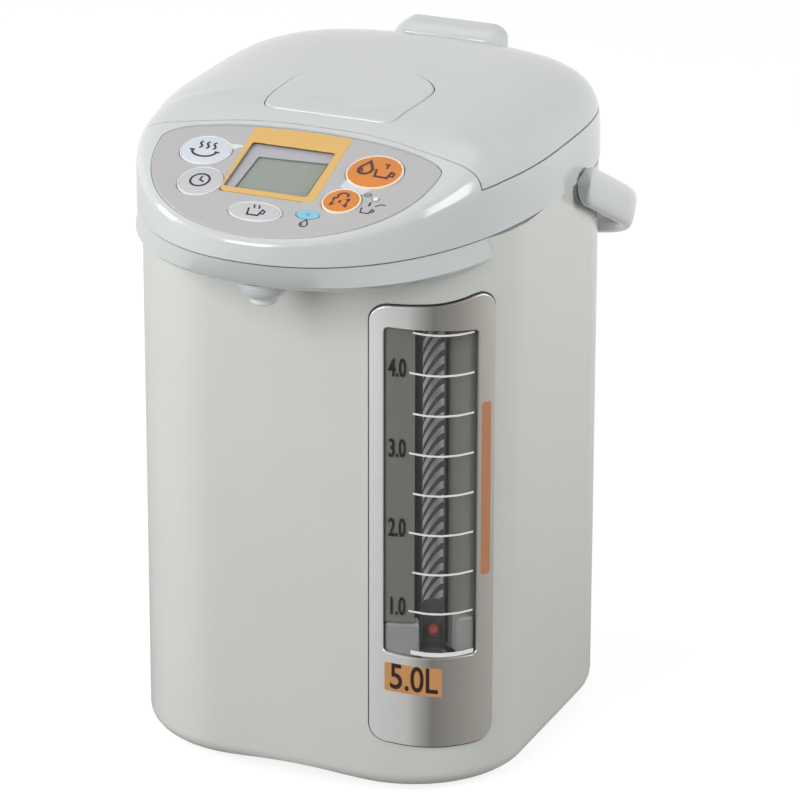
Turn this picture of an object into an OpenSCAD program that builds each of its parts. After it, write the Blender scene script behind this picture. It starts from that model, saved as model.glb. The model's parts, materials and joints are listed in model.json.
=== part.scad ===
/* [Body] */
// Width of the body across its flat sides
body_w = 206; // [196:1:214]
// Distance from the pot's axis to the flat front
front_d = 102; // [97:1:106]
// Distance from the pot's axis to the flat back
back_d = 103; // [99:1:108]
// Radius of the four upright corners
corner_r = 61; // [54:1:64]
// Height of the seam between the outer case and the head
seam_z = 297; // [285:1:330]
// Wall of the outer case
case_t = 1.6; // [1.2:0.1:2.2]

/* [Head] */
// How far the beak reaches in front of the axis
beak_reach = 155; // [151:0.5:158]
// How far the head stands out past the body's sides
head_margin = 1.5; // [1.5:0.5:4]
// Rise of the lid's gap above the seam
lid_rise = 25.5; // [24:0.5:28]
// Rise of the crown above the seam
crown_rise = 47.5; // [46:0.5:52]
// Wall of the moulded head, lid and beak
shell_t = 2.4; // [1.8:0.1:2.8]
// Running gap between lid and head
lid_gap = 0.8; // [0.6:0.1:1.2]

/* [Control panel] */
// Half length of the lens-shaped panel, side to side
panel_half_w = 75; // [68:1:76]
// Slope of the panel, rise over run
panel_slope = 0.335; // [0.3:0.005:0.36]
// Thickness of the panel's face plate
panel_t = 2; // [1.6:0.1:2.4]
// How far a button travels when it is pressed
button_travel = 0.8; // [0.5:0.1:0.8]

/* [Tank] */
// Inside radius of the steel tank
tank_r = 86.4; // [80:0.2:87]
// Height of the tank's inside floor
tank_floor_z = 57; // [55:1:62]
// Wall of the tank
tank_t = 0.8; // [0.6:0.1:1.2]
// Inside radius of the tank's neck
neck_r = 55.5; // [50:0.5:56]

/* [Level gauge] */
// Outside diameter of the glass gauge tube
tube_d = 10.4; // [9:0.1:11.4]
// Wall of the gauge tube
tube_t = 1.2; // [1:0.1:1.5]
// Diameter of the red float ball
float_d = 6.2; // [5:0.1:6.4]
// Height of the gauge panel's lower edge
gauge_z0 = 27; // [25:1:32]
// Height of the gauge panel
gauge_h = 238; // [224:1:240]

/* [Handle] */
// Half width across the handle's arms
handle_half_w = 112; // [111:0.5:115]
// Length of the handle from its pivots to the grip's back
handle_len = 133; // [130:1:140]
// Angle at which the lowered handle hangs below level
handle_droop = 27; // [18:1:30]
// Width of the handle's arms
arm_w = 20; // [16:1:22]

/* [Lid catch] */
// Half width of the lid's press plate
lever_half_w = 36; // [32:1:38]
// Distance in front of the axis of the plate's front edge
lever_front = 56; // [50:1:57]

/* [Hidden] */
$fn = 64;
eps = 0.01;
seat = 0.3;
ring_steps = 48;

// Body
body_y = (back_d - front_d) / 2;
body_half_d = (back_d + front_d) / 2;
corner_x = body_w / 2 - corner_r;
corner_y = body_half_d - corner_r;
case_z0 = 3;
case_top = seam_z - seat;
base_fillet = 9;
case_rim = 4;
floor_z0 = 3.3;
floor_t = 2.4;
foot_r = 9;
foot_x = 62;
foot_y = 62;
screw_x = 40;
screw_y = 80;
chassis_z = 12.3;
chassis_t = 2;

// Head skin
crown_z = seam_z + crown_rise;
lid_z = seam_z + lid_rise;
lid_edge = lid_gap / 2;
head_y = 0;
head_half_w = body_w / 2 + head_margin;
head_front = beak_reach + head_y;
head_back = back_d + 2 - head_y;
front_power = 2.18;
back_power = 3.6;
lid_front_y = -66.2;
edge_bow = 11.4;
edge_half = 88;
panel_top_y = -62;
ease_len = 23;
ledge_z = crown_z - panel_slope * ease_len / 2;
roof_turns = [0, 10, 20, 30, 42, 55, 68, 80, 87];

// Mouth of the head, over the tank's neck
mouth_r = neck_r + 5.5;
collar_t = 2;
collar_z = seam_z + 7.6;
floor_web_z = lid_z - 11;
floor_web_t = 2.4;
edge_wall_t = 1.6;

// Beak
lip_z = seam_z - 15;
lip_reach = 148;
lip_half_w = 103;
lip_power = 2.36;
beak_back_y = -62;
nozzle_y = -131;
nozzle_neck = 8;
nozzle_bore = 4;

// Hinge
hinge_y = 101;
hinge_z = lid_z + 3;
block_half_w = 30;
block_front = 92.9;
block_back = 111;
block_top = crown_z + 1.8;
block_t = 2.2;
block_sweep = 11;
skirt_sweep = 7.4;
block_low = 2;
pin_d = 5;
pin_fit = 0.06;
knuckle_r = 5;
knuckle_x = 17;
knuckle_w = 6;
lug_x = 23;
lug_w = 3.6;

// Panel plane
tilt = atan(panel_slope);
panel_mid_y = -88;
panel_front_y = 3.5 - beak_reach;
panel_rear_y = -69.4;
panel_sink = 0.8;
panel_fit = 0.35;
shelf_w = 3.6;
shelf_t = 1.6;
board_z = -9;
board_t = 1.6;

// Display, placed from the panel's middle
display_x = -6;
display_y = -100.5;
display_w = 44;
display_l = 44;

// Buttons: place, half length, half width
boil_at = [-48, -94];
boil_size = [13.5, 11.5];
timer_at = [-40.2, -117.2];
timer_size = [11.5, 11.5];
warm_at = [-3, -133.5];
warm_size = [14, 7.5];
dispense_at = [42.5, -93];
dispense_size = [14.5, 13.5];
unlock_at = [35.5, -117.2];
unlock_size = [9.8, 9.8];
lamp_at = [23.4, -130];
lamp_size = [6, 3.4];
led_at = [[46.2, -109.5], [51.2, -111.8]];
led_r = 1.6;

// Gauge, on the front right corner
gauge_x = corner_x;
gauge_y = body_y - corner_y;
gauge_a0 = -86.4;
gauge_a1 = -28;
window_a0 = -82;
window_a1 = -37.5;
window_z0 = gauge_z0 + 50.5;
window_h = gauge_h - 64;
frame_proud = 1.5;
tube_a = -56;
tube_depth = 12;
tube_x = gauge_x + (corner_r - tube_depth) * cos(tube_a);
tube_y = gauge_y + (corner_r - tube_depth) * sin(tube_a);
tube_z0 = window_z0 - 9;
tube_z1 = window_z0 + window_h + 12;
strip_r = tube_d / 2 + 0.5;
sleeve_t = 2.2;
tube_fit = 0.04;
float_low = 6;

// Tank
tank_y = body_y;
tank_top = seam_z + 6;
flange_r = neck_r + 10.5;
port_x = 48;
port_y = -46;
port_r = 5;
port_bore = 3.5;
heater_r = 54;
heater_t = 4.8;

// Pump, under the tank's port
pump_z0 = 31.6;
pump_h = 12;
pump_r = 21;
motor_r = 14;
shaft_d = 3;
outlet_z = pump_z0 + pump_h / 2;
outlet_a = atan2(tube_y - port_y, tube_x - port_x);
outlet_len = norm([tube_x - port_x, tube_y - port_y]);

// Delivery pipe
pipe_r = 4.7;
pipe_bore = 3.5;
pipe_z = seam_z + 5.1;

// Power inlet
inlet_z = 34;
inlet_w = 44;
inlet_h = 26;

// Lid
plug_r = neck_r - 1.5;
plug_z0 = tank_top + 3;
inner_z = lid_z + 1;
inner_t = 2;
tray_floor = lid_z + 8.5;
tray_t = 1.2;
tray_wall = 1.6;
tray_fit = 0.3;
lever_back = 20;
lever_t = 3;
lever_proud = 0.5;
lever_gap = 0.5;
lever_axis_y = -22;
lever_axis_z = crown_z - 8;
dimple_y = -40;
dimple_r = 15;
dimple_ring = 120;
dimple_depth = 1.2;
lever_pin_d = 3;
latch_z = lid_z + 3.4;
latch_h = 3;
latch_half_w = 14;
latch_travel = 4;
latch_rib_x = 17;
valve_y = 40;
valve_r = 9;
ball_d = 8;

// Handle
pivot_y = 27.5;
pivot_z = seam_z - 3.5;
arm_in = head_half_w + seat;
bearing_r = 9;
stub_d = 8;
grip_t = 15;
arm_corner_r = 84;

// Shallow arch under the front of the case
arch_half_w = 44;
arch_rise = 4.4;
arch_r = (pow(arch_half_w, 2) + pow(arch_rise, 2)) / (2 * arch_rise);

// ---------- shared shapes ----------

// Outline of an upright rounded box about the body's centre
module rounded_plan(half_w, half_d, r) {
    square([2 * (half_w - r), 2 * half_d], center = true);
    square([2 * half_w, 2 * (half_d - r)], center = true);
    for (x = [-1, 1], y = [-1, 1])
        translate([x * (half_w - r), y * (half_d - r)]) circle(r, $fn = 96);
}

// The body's own outline, grown outwards, as an upright solid
module body_block(grow, z0, h) {
    translate([0, body_y, z0]) linear_extrude(h)
        rounded_plan(body_w / 2 + grow, body_half_d + grow, corner_r + grow);
}

// The children's profile carried round the body: x is the distance from a corner's centre
module around_body() {
    translate([0, body_y, 0]) {
        for (a = [0, 1], b = [0, 1])
            mirror([a, 0, 0]) mirror([0, b, 0])
                translate([corner_x, corner_y, 0]) rotate_extrude(angle = 90, $fn = 96) children();
        for (a = [0, 1]) {
            mirror([a, 0, 0]) translate([corner_x, corner_y, 0])
                rotate([90, 0, 0]) linear_extrude(2 * corner_y) children();
            mirror([0, a, 0]) translate([-corner_x, corner_y, 0])
                rotate([90, 0, 90]) linear_extrude(2 * corner_x) children();
        }
    }
}

// One copy of the children in each quarter of the base
module base_corners(x, y) {
    for (a = [-1, 1], b = [-1, 1]) translate([a * x, body_y + b * y, 0]) children();
}

// Part of a ring about the front right corner's centre
module corner_sector(r0, r1, a0, a1, z0, h) {
    translate([gauge_x, gauge_y, z0]) rotate([0, 0, a0])
        rotate_extrude(angle = a1 - a0, $fn = 96) translate([r0, 0]) square([r1 - r0, h]);
}

// Rounded rectangle pushed out through the front right corner
module corner_prism(a0, a1, r, z0, h, round_r) {
    half = r * sin((a1 - a0) / 2);
    translate([gauge_x, gauge_y, z0]) rotate([0, 0, (a0 + a1) / 2]) translate([r / 3, 0, 0])
        rotate([90, 0, 90]) linear_extrude(r) {
            translate([-half, round_r]) square([2 * half, h - 2 * round_r]);
            translate([-half + round_r, 0]) square([2 * (half - round_r), h]);
            for (x = [-1, 1], y = [round_r, h - round_r])
                translate([x * (half - round_r), y]) circle(round_r);
        }
}

module tube(r_out, r_in, h) {
    difference() {
        cylinder(r = r_out, h = h);
        translate([0, 0, -1]) cylinder(r = r_in, h = h + 2);
    }
}

// Rod along X, centred
module x_rod(d, len) {
    rotate([0, 90, 0]) cylinder(d = d, h = len, center = true);
}

// Twelve-sided rod along X with its flats at least r from the middle
module x_rod_faced(r, len) {
    rotate([0, 90, 0]) cylinder(r = r / cos(15), h = len, center = true, $fn = 12);
}

// Round bar through a list of points, with a ball at each bend
module pipe_run(points, r) {
    for (i = [0 : len(points) - 2]) {
        d = points[i + 1] - points[i];
        translate(points[i]) rotate([0, acos(d[2] / norm(d)), atan2(d[1], d[0])])
            cylinder(r = r, h = norm(d), $fn = 32);
        if (i > 0) translate(points[i]) sphere(r + 0.05, $fn = 32);
    }
}

// Close-wound spring: stacked turns of wire
module spring(r, wire_r, turns) {
    for (i = [0 : turns - 1]) translate([0, 0, wire_r + i * 1.8 * wire_r])
        rotate_extrude($fn = 32) translate([r, 0]) circle(wire_r, $fn = 16);
}

// Closed skin through rings that all have the same number of points; a ridged top is closed
// by strips across X, a level one by a single face
module loft(rings, ridged) {
    n = len(rings[0]);
    m = len(rings);
    top = (m - 1) * n;
    sides = [for (k = [0 : m - 2], i = [0 : n - 1]) let (j = (i + 1) % n)
        each [[k * n + i, (k + 1) * n + j, k * n + j], [k * n + i, (k + 1) * n + i, (k + 1) * n + j]]];
    foot = [[for (i = [0 : n - 1]) i]];
    cap = ridged
        ? [for (k = [0 : n / 2 - 2]) let (i = (k + n * 3 / 4) % n, j = (i + 1) % n)
            [top + i, top + (n * 3 / 2 - 1 - i) % n, top + (n * 3 / 2 - 1 - j) % n, top + j]]
        : [[for (i = [n - 1 : -1 : 0]) top + i]];
    polyhedron(points = [for (ring = rings) each ring], faces = concat(sides, foot, cap));
}

// ---------- head skin ----------

function sgn_pow(v, e) = sign(v) * pow(abs(v), e);

// Plan outline of the head: one superellipse in front of head_y, another behind it
function outline(a, inset) = sin(a) < 0
    ? [(head_half_w - inset) * sgn_pow(cos(a), 2 / front_power),
       head_y + (head_front - inset) * sgn_pow(sin(a), 2 / front_power)]
    : [(head_half_w - inset) * sgn_pow(cos(a), 2 / back_power),
       head_y + (head_back - inset) * sgn_pow(sin(a), 2 / back_power)];

// Height of the roof along the pot: the panel's slope, easing into the level crown
function roof_z(y) = let (t = y - panel_top_y)
    t < 0 ? ledge_z + panel_slope * t
    : t < ease_len ? ledge_z + panel_slope * (t - t * t / (2 * ease_len))
    : crown_z;

// How tightly the roof turns down into the wall: tightest at the beak and over the hinge
function rim_power(p) = p[1] < head_y
    ? lookup(p[1], [[-beak_reach, 16], [-95, 11], [-60, 5.2], [head_y, 4.8]])
    : 4.8 + 2.6 * (1 - abs(p[0]) / head_half_w);

function ring_angles() = [for (i = [0 : ring_steps - 1]) (i + 0.5) * 360 / ring_steps];

function roof_ring(turn, inset) = [for (a = ring_angles())
    let (p = outline(a, inset), q = rim_power(p), s = pow(cos(turn), 2 / q),
         y = head_y + s * (p[1] - head_y))
    [s * p[0], y, seam_z + (roof_z(y) - seam_z - inset) * pow(sin(turn), 2 / q)]];

// The whole head as one solid, its skin moved in by inset, reaching down by drop below the seam
module head_solid(inset, drop) {
    lowest = [for (p = roof_ring(0, inset)) [p[0], p[1], seam_z - drop]];
    loft(concat([lowest], [for (t = roof_turns) if (t > 0 || drop > 0) roof_ring(t, inset)]), true);
}

// Upright wall across the lid, under its skin
module cross_wall(y, t, half_w, z0, inset) {
    intersection() {
        head_solid(inset, 1);
        translate([-half_w, y, z0]) cube([2 * half_w, t, 60]);
    }
}

// Plan of all that lies behind the lid's bowed front edge, moved back by shift
module behind_edge(shift) {
    polygon(concat([[-150, 200], [-150, lid_front_y - edge_bow + shift]],
        [for (x = [-edge_half : edge_half / 11 : edge_half])
            [x, lid_front_y - edge_bow * pow(sin(90 * abs(x) / edge_half), 3.4) + shift]],
        [[150, lid_front_y - edge_bow + shift], [150, 200]]));
}

// Upright wall along the lid's front edge, under the skin
module edge_wall(shift, t, z0, inset) {
    intersection() {
        head_solid(inset, 1);
        translate([0, 0, z0]) linear_extrude(60) difference() {
            behind_edge(shift);
            behind_edge(shift + t);
        }
    }
}

// Side view of the roof as a band: over is its height above the roof, depth its thickness
module roof_band(over, depth, half_w) {
    ys = [for (y = [-59.5 : 5.5 : 34]) y];
    rotate([90, 0, 90]) translate([0, 0, -half_w]) linear_extrude(2 * half_w) polygon(concat(
        [for (y = ys) [y, roof_z(y) + over]],
        [for (i = [len(ys) - 1 : -1 : 0]) [ys[i], roof_z(ys[i]) + over - depth]]));
}

// The children stand on the panel's face, z square to its slope, sunk by sink
module on_panel(sink) {
    translate([0, panel_mid_y, roof_z(panel_mid_y) - panel_sink]) rotate([tilt, 0, 0])
        translate([0, 0, -sink]) children();
}

// A plan place of the pot as a place on the panel's slope
function slope_at(p) = [p[0], (p[1] - panel_mid_y) / cos(tilt)];

module oval(size, grow) {
    scale([size[0] + grow, size[1] + grow]) circle(1);
}

// Lens outline of the control panel on its own slope
module panel_plan(grow) {
    front = (panel_mid_y - panel_front_y) / cos(tilt) + grow;
    rear = (panel_rear_y - panel_mid_y) / cos(tilt) + grow;
    polygon([for (a = [0 : 7.5 : 352.5])
        [(panel_half_w + grow) * cos(a), (a < 180 ? rear : front) * sin(a)]]);
}

// ---------- body ----------

module bearing_holes(r) {
    translate([0, pivot_y, pivot_z]) for (x = [-1, 1]) translate([x * body_w / 2, 0, 0])
        x_rod(2 * r, 20);
}

function fillet_arc(x, z, r, steps) = [for (i = [0 : steps])
    let (a = -90 + i * 90 / steps) [x - r + r * cos(a), z + r + r * sin(a)]];

module outer_case() {
    inner = fillet_arc(corner_r - case_t, case_z0 + case_t, base_fillet - case_t, 6);
    color("#cfd0ca") difference() {
        around_body() polygon(concat(
            fillet_arc(corner_r, case_z0, base_fillet, 6),
            [[corner_r, case_top], [corner_r - case_rim, case_top], [corner_r - case_rim, case_top - case_t],
             [corner_r - case_t, case_top - case_t]],
            [for (i = [6 : -1 : 0]) inner[i]]));
        corner_prism(gauge_a0 + 3, gauge_a1 - 3, corner_r + 4, gauge_z0 + 4, gauge_h - 8, 8);
        bearing_holes(bearing_r + seat);
        translate([0, pivot_y, pivot_z]) x_rod(2 * (bearing_r + 3 + seat), body_w - 2 * case_t - 0.2);
        translate([0, base_fillet + 2 - front_d, case_z0 + arch_rise - arch_r])
            rotate([90, 0, 0]) cylinder(r = arch_r, h = 20, $fn = 200);
        translate([0, back_d, inlet_z]) cube([inlet_w + 2 * seat, 20, inlet_h + 2 * seat], center = true);
    }
}

module bottom_cover() {
    inset = base_fillet + seat;
    color("#5a5d5f") difference() {
        body_block(-inset, floor_z0, floor_t);
        base_corners(screw_x, screw_y) translate([0, 0, -1]) cylinder(r = 1.8, h = 20);
        base_corners(screw_x, screw_y) translate([0, 0, -1]) cylinder(r = 4.1, h = floor_z0 + 2.6);
        base_corners(foot_x, foot_y) cylinder(r = 3.3, h = 20);
        for (i = [-4 : 4]) translate([i * 8, body_y, 0]) cube([3, 44, 20], center = true);
    }
}

module rubber_feet() {
    color("#2b2b2b") base_corners(foot_x, foot_y) rotate_extrude()
        polygon([[0, 0], [foot_r - 1, 0], [foot_r, 1], [foot_r, floor_z0 - 0.02], [3.2, floor_z0 - 0.02],
            [3.2, floor_z0 + floor_t], [4, floor_z0 + floor_t + 0.3], [3.2, floor_z0 + floor_t + 2],
            [0, floor_z0 + floor_t + 2]]);
}

module bottom_screws() {
    head_z = floor_z0 + 0.1;
    color("#b8babb") base_corners(screw_x, screw_y) translate([0, 0, head_z]) difference() {
        union() {
            cylinder(r = 3.8, h = 1.46);
            cylinder(r = 1.5, h = 8);
        }
        for (a = [0, 90]) rotate([0, 0, a]) cube([4.4, 1, 1.4], center = true);
    }
}

// Plastic base frame that carries the tank, the pump and the power board
module chassis() {
    post_z = floor_z0 + floor_t + seat;
    color("#d8d8d2") difference() {
        union() {
            body_block(-case_t - seat, chassis_z, chassis_t);
            base_corners(screw_x, screw_y) translate([0, 0, post_z]) cylinder(r = 5, h = chassis_z + eps - post_z);
            translate([port_x, port_y, chassis_z]) tube(motor_r + 3, motor_r + seat, chassis_t + 7);
            for (x = [-72, -4], y = [46, 84]) translate([x, y, chassis_z]) cylinder(r = 3, h = 6);
        }
        base_corners(screw_x, screw_y) cylinder(r = 1.55, h = chassis_z - 0.6);
        for (i = [-4 : 4]) translate([i * 8 - 20, -30, chassis_z]) cube([3, 40, 20], center = true);
    }
}

// ---------- beak ----------

function beak_ring(z, half_w, reach, power) = [for (i = [0 : 40]) let (a = 180 + i * 4.5)
    [half_w * sgn_pow(cos(a), 2 / power), head_y - (reach + head_y) * pow(abs(sin(a)), 2 / power), z]];

module beak_solid(inset) {
    loft([beak_ring(lip_z, lip_half_w - 4 - inset, lip_reach - 4 - inset, lip_power),
          beak_ring(lip_z + 1.2, lip_half_w - 1.2 - inset, lip_reach - 1.2 - inset, lip_power),
          beak_ring(lip_z + 4, lip_half_w + 0.7 - inset, lip_reach + 2 - inset, lip_power),
          beak_ring(case_top, head_half_w - 0.6 - inset, beak_reach - 0.6 - inset, front_power)], false);
}

// Hollow underside of the beak, open towards the head
module beak_base() {
    color("#c9cac4") difference() {
        beak_solid(0);
        intersection() {
            beak_solid(shell_t);
            translate([-150, -200, lip_z + 2]) cube([300, 300, 60]);
        }
        body_block(seat, 0, 400);
        translate([-150, beak_back_y, 0]) cube([300, 300, 400]);
        translate([0, nozzle_y, 0]) cylinder(r = nozzle_neck + seat, h = 400);
    }
}

// Bowl-shaped spout with a neck that goes up through the beak
module spout_nozzle() {
    color("#d4d5cf") translate([0, nozzle_y, lip_z]) rotate_extrude()
        polygon([[7, -9.8], [9.4, -8.5], [11.6, -5.8], [12.8, -2.4], [13, -seat], [nozzle_neck, -seat],
            [nozzle_neck, 8], [nozzle_bore, 8], [nozzle_bore, -6.6], [7, -6.6]]);
}

module spout_tip() {
    color("#dcddd8") translate([0, nozzle_y, lip_z]) rotate_extrude()
        polygon([[nozzle_bore, -12.8], [6, -12.8], [6.7, -12.1], [6.7, -6.9], [nozzle_bore, -6.9]]);
}

// ---------- head ----------

// Shelf under the control panel's edge
module panel_shelf() {
    intersection() {
        on_panel(panel_t + 0.2 + shelf_t) linear_extrude(shelf_t) difference() {
            panel_plan(3);
            panel_plan(-shelf_w);
        }
        head_solid(shell_t - 1, 1);
        linear_extrude(500) difference() {
            translate([-140, -200]) square([280, 190]);
            behind_edge(-lid_edge - edge_wall_t - seat);
        }
    }
}

module top_cover() {
    color("#c6c8c4") {
        difference() {
            head_solid(0, 0);
            head_solid(shell_t, 1);
            on_panel(panel_t + 0.2) linear_extrude(30) panel_plan(panel_fit);
            translate([0, 0, lid_z - lid_edge]) linear_extrude(80) behind_edge(-lid_edge);
            translate([-block_half_w - 1, hinge_y - 1, hinge_z - block_sweep])
                cube([2 * (block_half_w + 1), 60, 60]);
            translate([0, hinge_y, hinge_z]) x_rod_faced(skirt_sweep, 160);
            bearing_holes(bearing_r + seat);
        }
        panel_shelf();
    }
}

// Floor of the head around the mouth, its wall behind the control panel and the mouth's collar
module mouth_collar() {
    inset = shell_t + seat;
    color("#bcbebb") difference() {
        union() {
            intersection() {
                head_solid(inset, 1);
                translate([0, 0, floor_web_z]) linear_extrude(floor_web_t)
                    behind_edge(-lid_edge - edge_wall_t);
            }
            edge_wall(-lid_edge - edge_wall_t, edge_wall_t, floor_web_z, inset);
            translate([0, tank_y, collar_z]) cylinder(r = mouth_r + collar_t, h = floor_web_z + 1 - collar_z);
        }
        translate([0, tank_y, seam_z - 5]) cylinder(r = mouth_r, h = lid_z - seam_z);
        translate([0, lid_front_y, latch_z + latch_h / 2])
            cube([2 * (latch_half_w + 1), 12, latch_h + 1.2], center = true);
    }
}

// Lugs on the head's floor web that hold the hinge pin
module hinge_bracket() {
    foot_z = floor_web_z + floor_web_t + 0.02;
    color("#b4b6b4") difference() {
        for (x = [-lug_x, lug_x]) translate([x - lug_w / 2, 0, 0]) {
            translate([lug_w / 2, hinge_y, hinge_z]) x_rod(2 * knuckle_r, lug_w);
            translate([0, hinge_y - knuckle_r, foot_z]) cube([lug_w, knuckle_r - 1, hinge_z - foot_z]);
        }
        translate([0, hinge_y, hinge_z]) x_rod(pin_d + pin_fit, 100);
    }
    color("#b4b6b4") for (x = [-lug_x, lug_x]) translate([x - lug_w, hinge_y - 12, foot_z])
        cube([2 * lug_w, 10, 1.2]);
}

// Block behind the lid, hollow underneath, that turns with it
module hinge_block() {
    r = 5;
    module profile(d) {
        low = hinge_z - block_low;
        translate([block_front + d, low]) square([block_back - block_front - r - d, block_top - low - d]);
        translate([block_front + d, low]) square([block_back - block_front - 2 * d, block_top - low - r]);
        translate([block_back - r, block_top - r]) circle(r - d);
    }
    color("#c9cbc8") {
        difference() {
            union() {
                difference() {
                    rotate([90, 0, 90]) translate([0, 0, -block_half_w]) linear_extrude(2 * block_half_w)
                        profile(0);
                    rotate([90, 0, 90]) translate([0, -eps, block_t - block_half_w])
                        linear_extrude(2 * (block_half_w - block_t)) profile(block_t);
                }
                // knuckles and the tongue that plugs into the lid
                for (x = [-knuckle_x, knuckle_x]) {
                    translate([x, hinge_y, hinge_z]) x_rod(2 * knuckle_r, knuckle_w);
                    translate([x - knuckle_w / 2, hinge_y - knuckle_r, hinge_z])
                        cube([knuckle_w, 2 * knuckle_r - 1, block_top - hinge_z - 1]);
                }
                translate([-11.7, block_front - 8, hinge_z + 8.3]) cube([23.4, 9, 3.4]);
            }
            translate([0, hinge_y, hinge_z]) x_rod(pin_d + pin_fit, 100);
        }
    }
}

module hinge_pin() {
    color("#9a9c9e") translate([0, hinge_y, hinge_z]) x_rod(pin_d, 2 * (lug_x + lug_w));
}

// ---------- control panel ----------

module at_place(p) {
    translate(slope_at(p)) children();
}

module control_panel() {
    color("#b9b5bd") on_panel(panel_t) linear_extrude(panel_t) difference() {
        panel_plan(0);
        at_place([display_x, display_y]) square([display_w + 0.4, display_l + 0.4], center = true);
        at_place(boil_at) oval(boil_size, 0.3);
        at_place(timer_at) oval(timer_size, 0.3);
        at_place(warm_at) oval(warm_size, 0.3);
        at_place(dispense_at) oval(dispense_size, 0.3);
        at_place(unlock_at) oval(unlock_size, 0.3);
        at_place(lamp_at) oval(lamp_size, 0.3);
        for (p = led_at) at_place(p) circle(led_r + 0.3);
    }
}

module display_window() {
    color([0.8, 0.85, 0.85, 0.4]) on_panel(panel_t - 0.3) at_place([display_x, display_y])
        translate([0, 0, 0.7]) cube([display_w, display_l, 1.4], center = true);
}

module display_module() {
    color("#9aa39b") on_panel(-board_z - board_t - 0.3) at_place([display_x, display_y]) {
        translate([0, 0, 2.3]) cube([display_w - 2, display_l - 2, 4.6], center = true);
    }
}

module control_board() {
    color("#3f7a52") on_panel(-board_z) linear_extrude(board_t) difference() {
        panel_plan(-9);
        at_place([0, panel_mid_y - 30]) translate([-60, 0]) circle(2);
    }
}

module tact_switches() {
    color("#3a3a3a") on_panel(-board_z - board_t - 0.02)
        for (p = [boil_at, timer_at, warm_at, dispense_at, unlock_at]) at_place(p) {
            translate([-3, -3, 0]) cube([6, 6, 2.4]);
            cylinder(r = 1.6, h = 2.8);
        }
}

// Cap through the panel, a flange behind it and a stem over its switch
module button(p, size, proud) {
    on_panel(0) at_place(p) {
        translate([0, 0, -2.3]) linear_extrude(2.3 + proud) oval(size, 0);
        translate([0, 0, -panel_t - 1.2]) linear_extrude(1) oval(size, 1.1);
        translate([0, 0, -3.6]) cylinder(r = 2, h = 1);
    }
}

module boil_button() {
    color("#d9dde3") button(boil_at, boil_size, 0.5);
}

module timer_button() {
    color("#c9ccd1") button(timer_at, timer_size, 0.5);
}

module keep_warm_button() {
    color("#c9ccd1") button(warm_at, warm_size, 0.5);
}

module dispense_button() {
    color("#e0892a") button(dispense_at, dispense_size, 0.7);
}

module unlock_button() {
    color("#e0892a") button(unlock_at, unlock_size, 0.7);
}

// The refill lamp and the two small mode lamps
module panel_lamps() {
    color("#8cc8e6") on_panel(panel_t + 0.6) {
        at_place(lamp_at) {
            linear_extrude(panel_t + 0.5) oval(lamp_size, 0);
            translate([0, 0, -0.6]) linear_extrude(1) oval(lamp_size, 1);
        }
        for (p = led_at) at_place(p) {
            cylinder(r = led_r, h = panel_t + 0.5);
            translate([0, 0, -0.8]) cylinder(r = led_r + 0.6, h = 1.2);
        }
    }
}

// ---------- level gauge ----------

module gauge_frame() {
    color("#c3c2c0") intersection() {
        difference() {
            corner_sector(corner_r + seat, corner_r + frame_proud, gauge_a0 - 2, gauge_a1 + 2,
                gauge_z0 - 1, gauge_h + 2);
            corner_prism(window_a0, window_a1, corner_r, window_z0, window_h, 3);
        }
        corner_prism(gauge_a0, gauge_a1, corner_r + frame_proud, gauge_z0, gauge_h, 9);
    }
}

module gauge_window() {
    color([0.85, 0.88, 0.88, 0.35]) intersection() {
        corner_sector(corner_r - 1, corner_r + frame_proud - 0.4, window_a0 - 4, window_a1 + 4,
            window_z0 - 2, window_h + 4);
        corner_prism(window_a0 + 0.4, window_a1 - 0.4, corner_r, window_z0 + seat,
            window_h - 2 * seat, 2.8);
    }
}

// Open channel behind the window, closed at its back, sides and ends
module gauge_backing() {
    wall = 1.2;
    r0 = corner_r - tube_depth - strip_r - 2;
    r1 = corner_r - case_t - seat;
    a0 = window_a0 - 4;
    a1 = window_a1 + 4;
    z0 = window_z0 - 3;
    h = window_h + 6;
    color("#8f9496") difference() {
        corner_sector(r0, r1, a0, a1, z0, h);
        corner_sector(r0 + wall, r1 + 5, a0 + 1.5, a1 - 1.5, z0 + wall, h - 2 * wall);
        translate([tube_x, tube_y, z0 - 1]) cylinder(r = tube_d / 2 + seat, h = h + 2);
    }
}

// Striped strip that stands half round the tube's back
module gauge_strip() {
    color("#e9ebe8") translate([tube_x, tube_y, window_z0 + 1.5]) rotate([0, 0, tube_a + 95])
        rotate_extrude(angle = 170) translate([strip_r - 0.2, 0]) square([0.8, window_h - 3]);
}

module gauge_tube() {
    color([0.9, 0.93, 0.93, 0.35]) translate([tube_x, tube_y, tube_z0])
        tube(tube_d / 2, tube_d / 2 - tube_t, tube_z1 - tube_z0);
}

module gauge_float() {
    color("#c8281e") translate([tube_x, tube_y, window_z0 + float_low + float_d / 2]) sphere(d = float_d);
}

module tube_upper_sleeve() {
    color("#c9cdc9") translate([tube_x, tube_y, tube_z1 - 6])
        tube(tube_d / 2 + sleeve_t, tube_d / 2 + tube_fit, 16);
}

// Rubber elbow from the pump's outlet up to the tube's foot
module riser_elbow() {
    toward = [cos(outlet_a), sin(outlet_a), 0];
    start = [port_x, port_y, outlet_z] + (pump_r + 8) * toward;
    bend = [tube_x, tube_y, outlet_z];
    top = [tube_x, tube_y, tube_z0 + 5];
    color("#dfe2de") difference() {
        pipe_run([start, bend, top], tube_d / 2 + sleeve_t);
        pipe_run([start - toward, bend, top + [0, 0, 1]], pipe_bore);
        translate([tube_x, tube_y, tube_z0 - seat]) cylinder(r = tube_d / 2 + tube_fit, h = 20);
        translate(start - toward) rotate([0, 90, outlet_a]) cylinder(r = port_r + tube_fit, h = 10);
    }
}

// ---------- tank ----------

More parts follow.
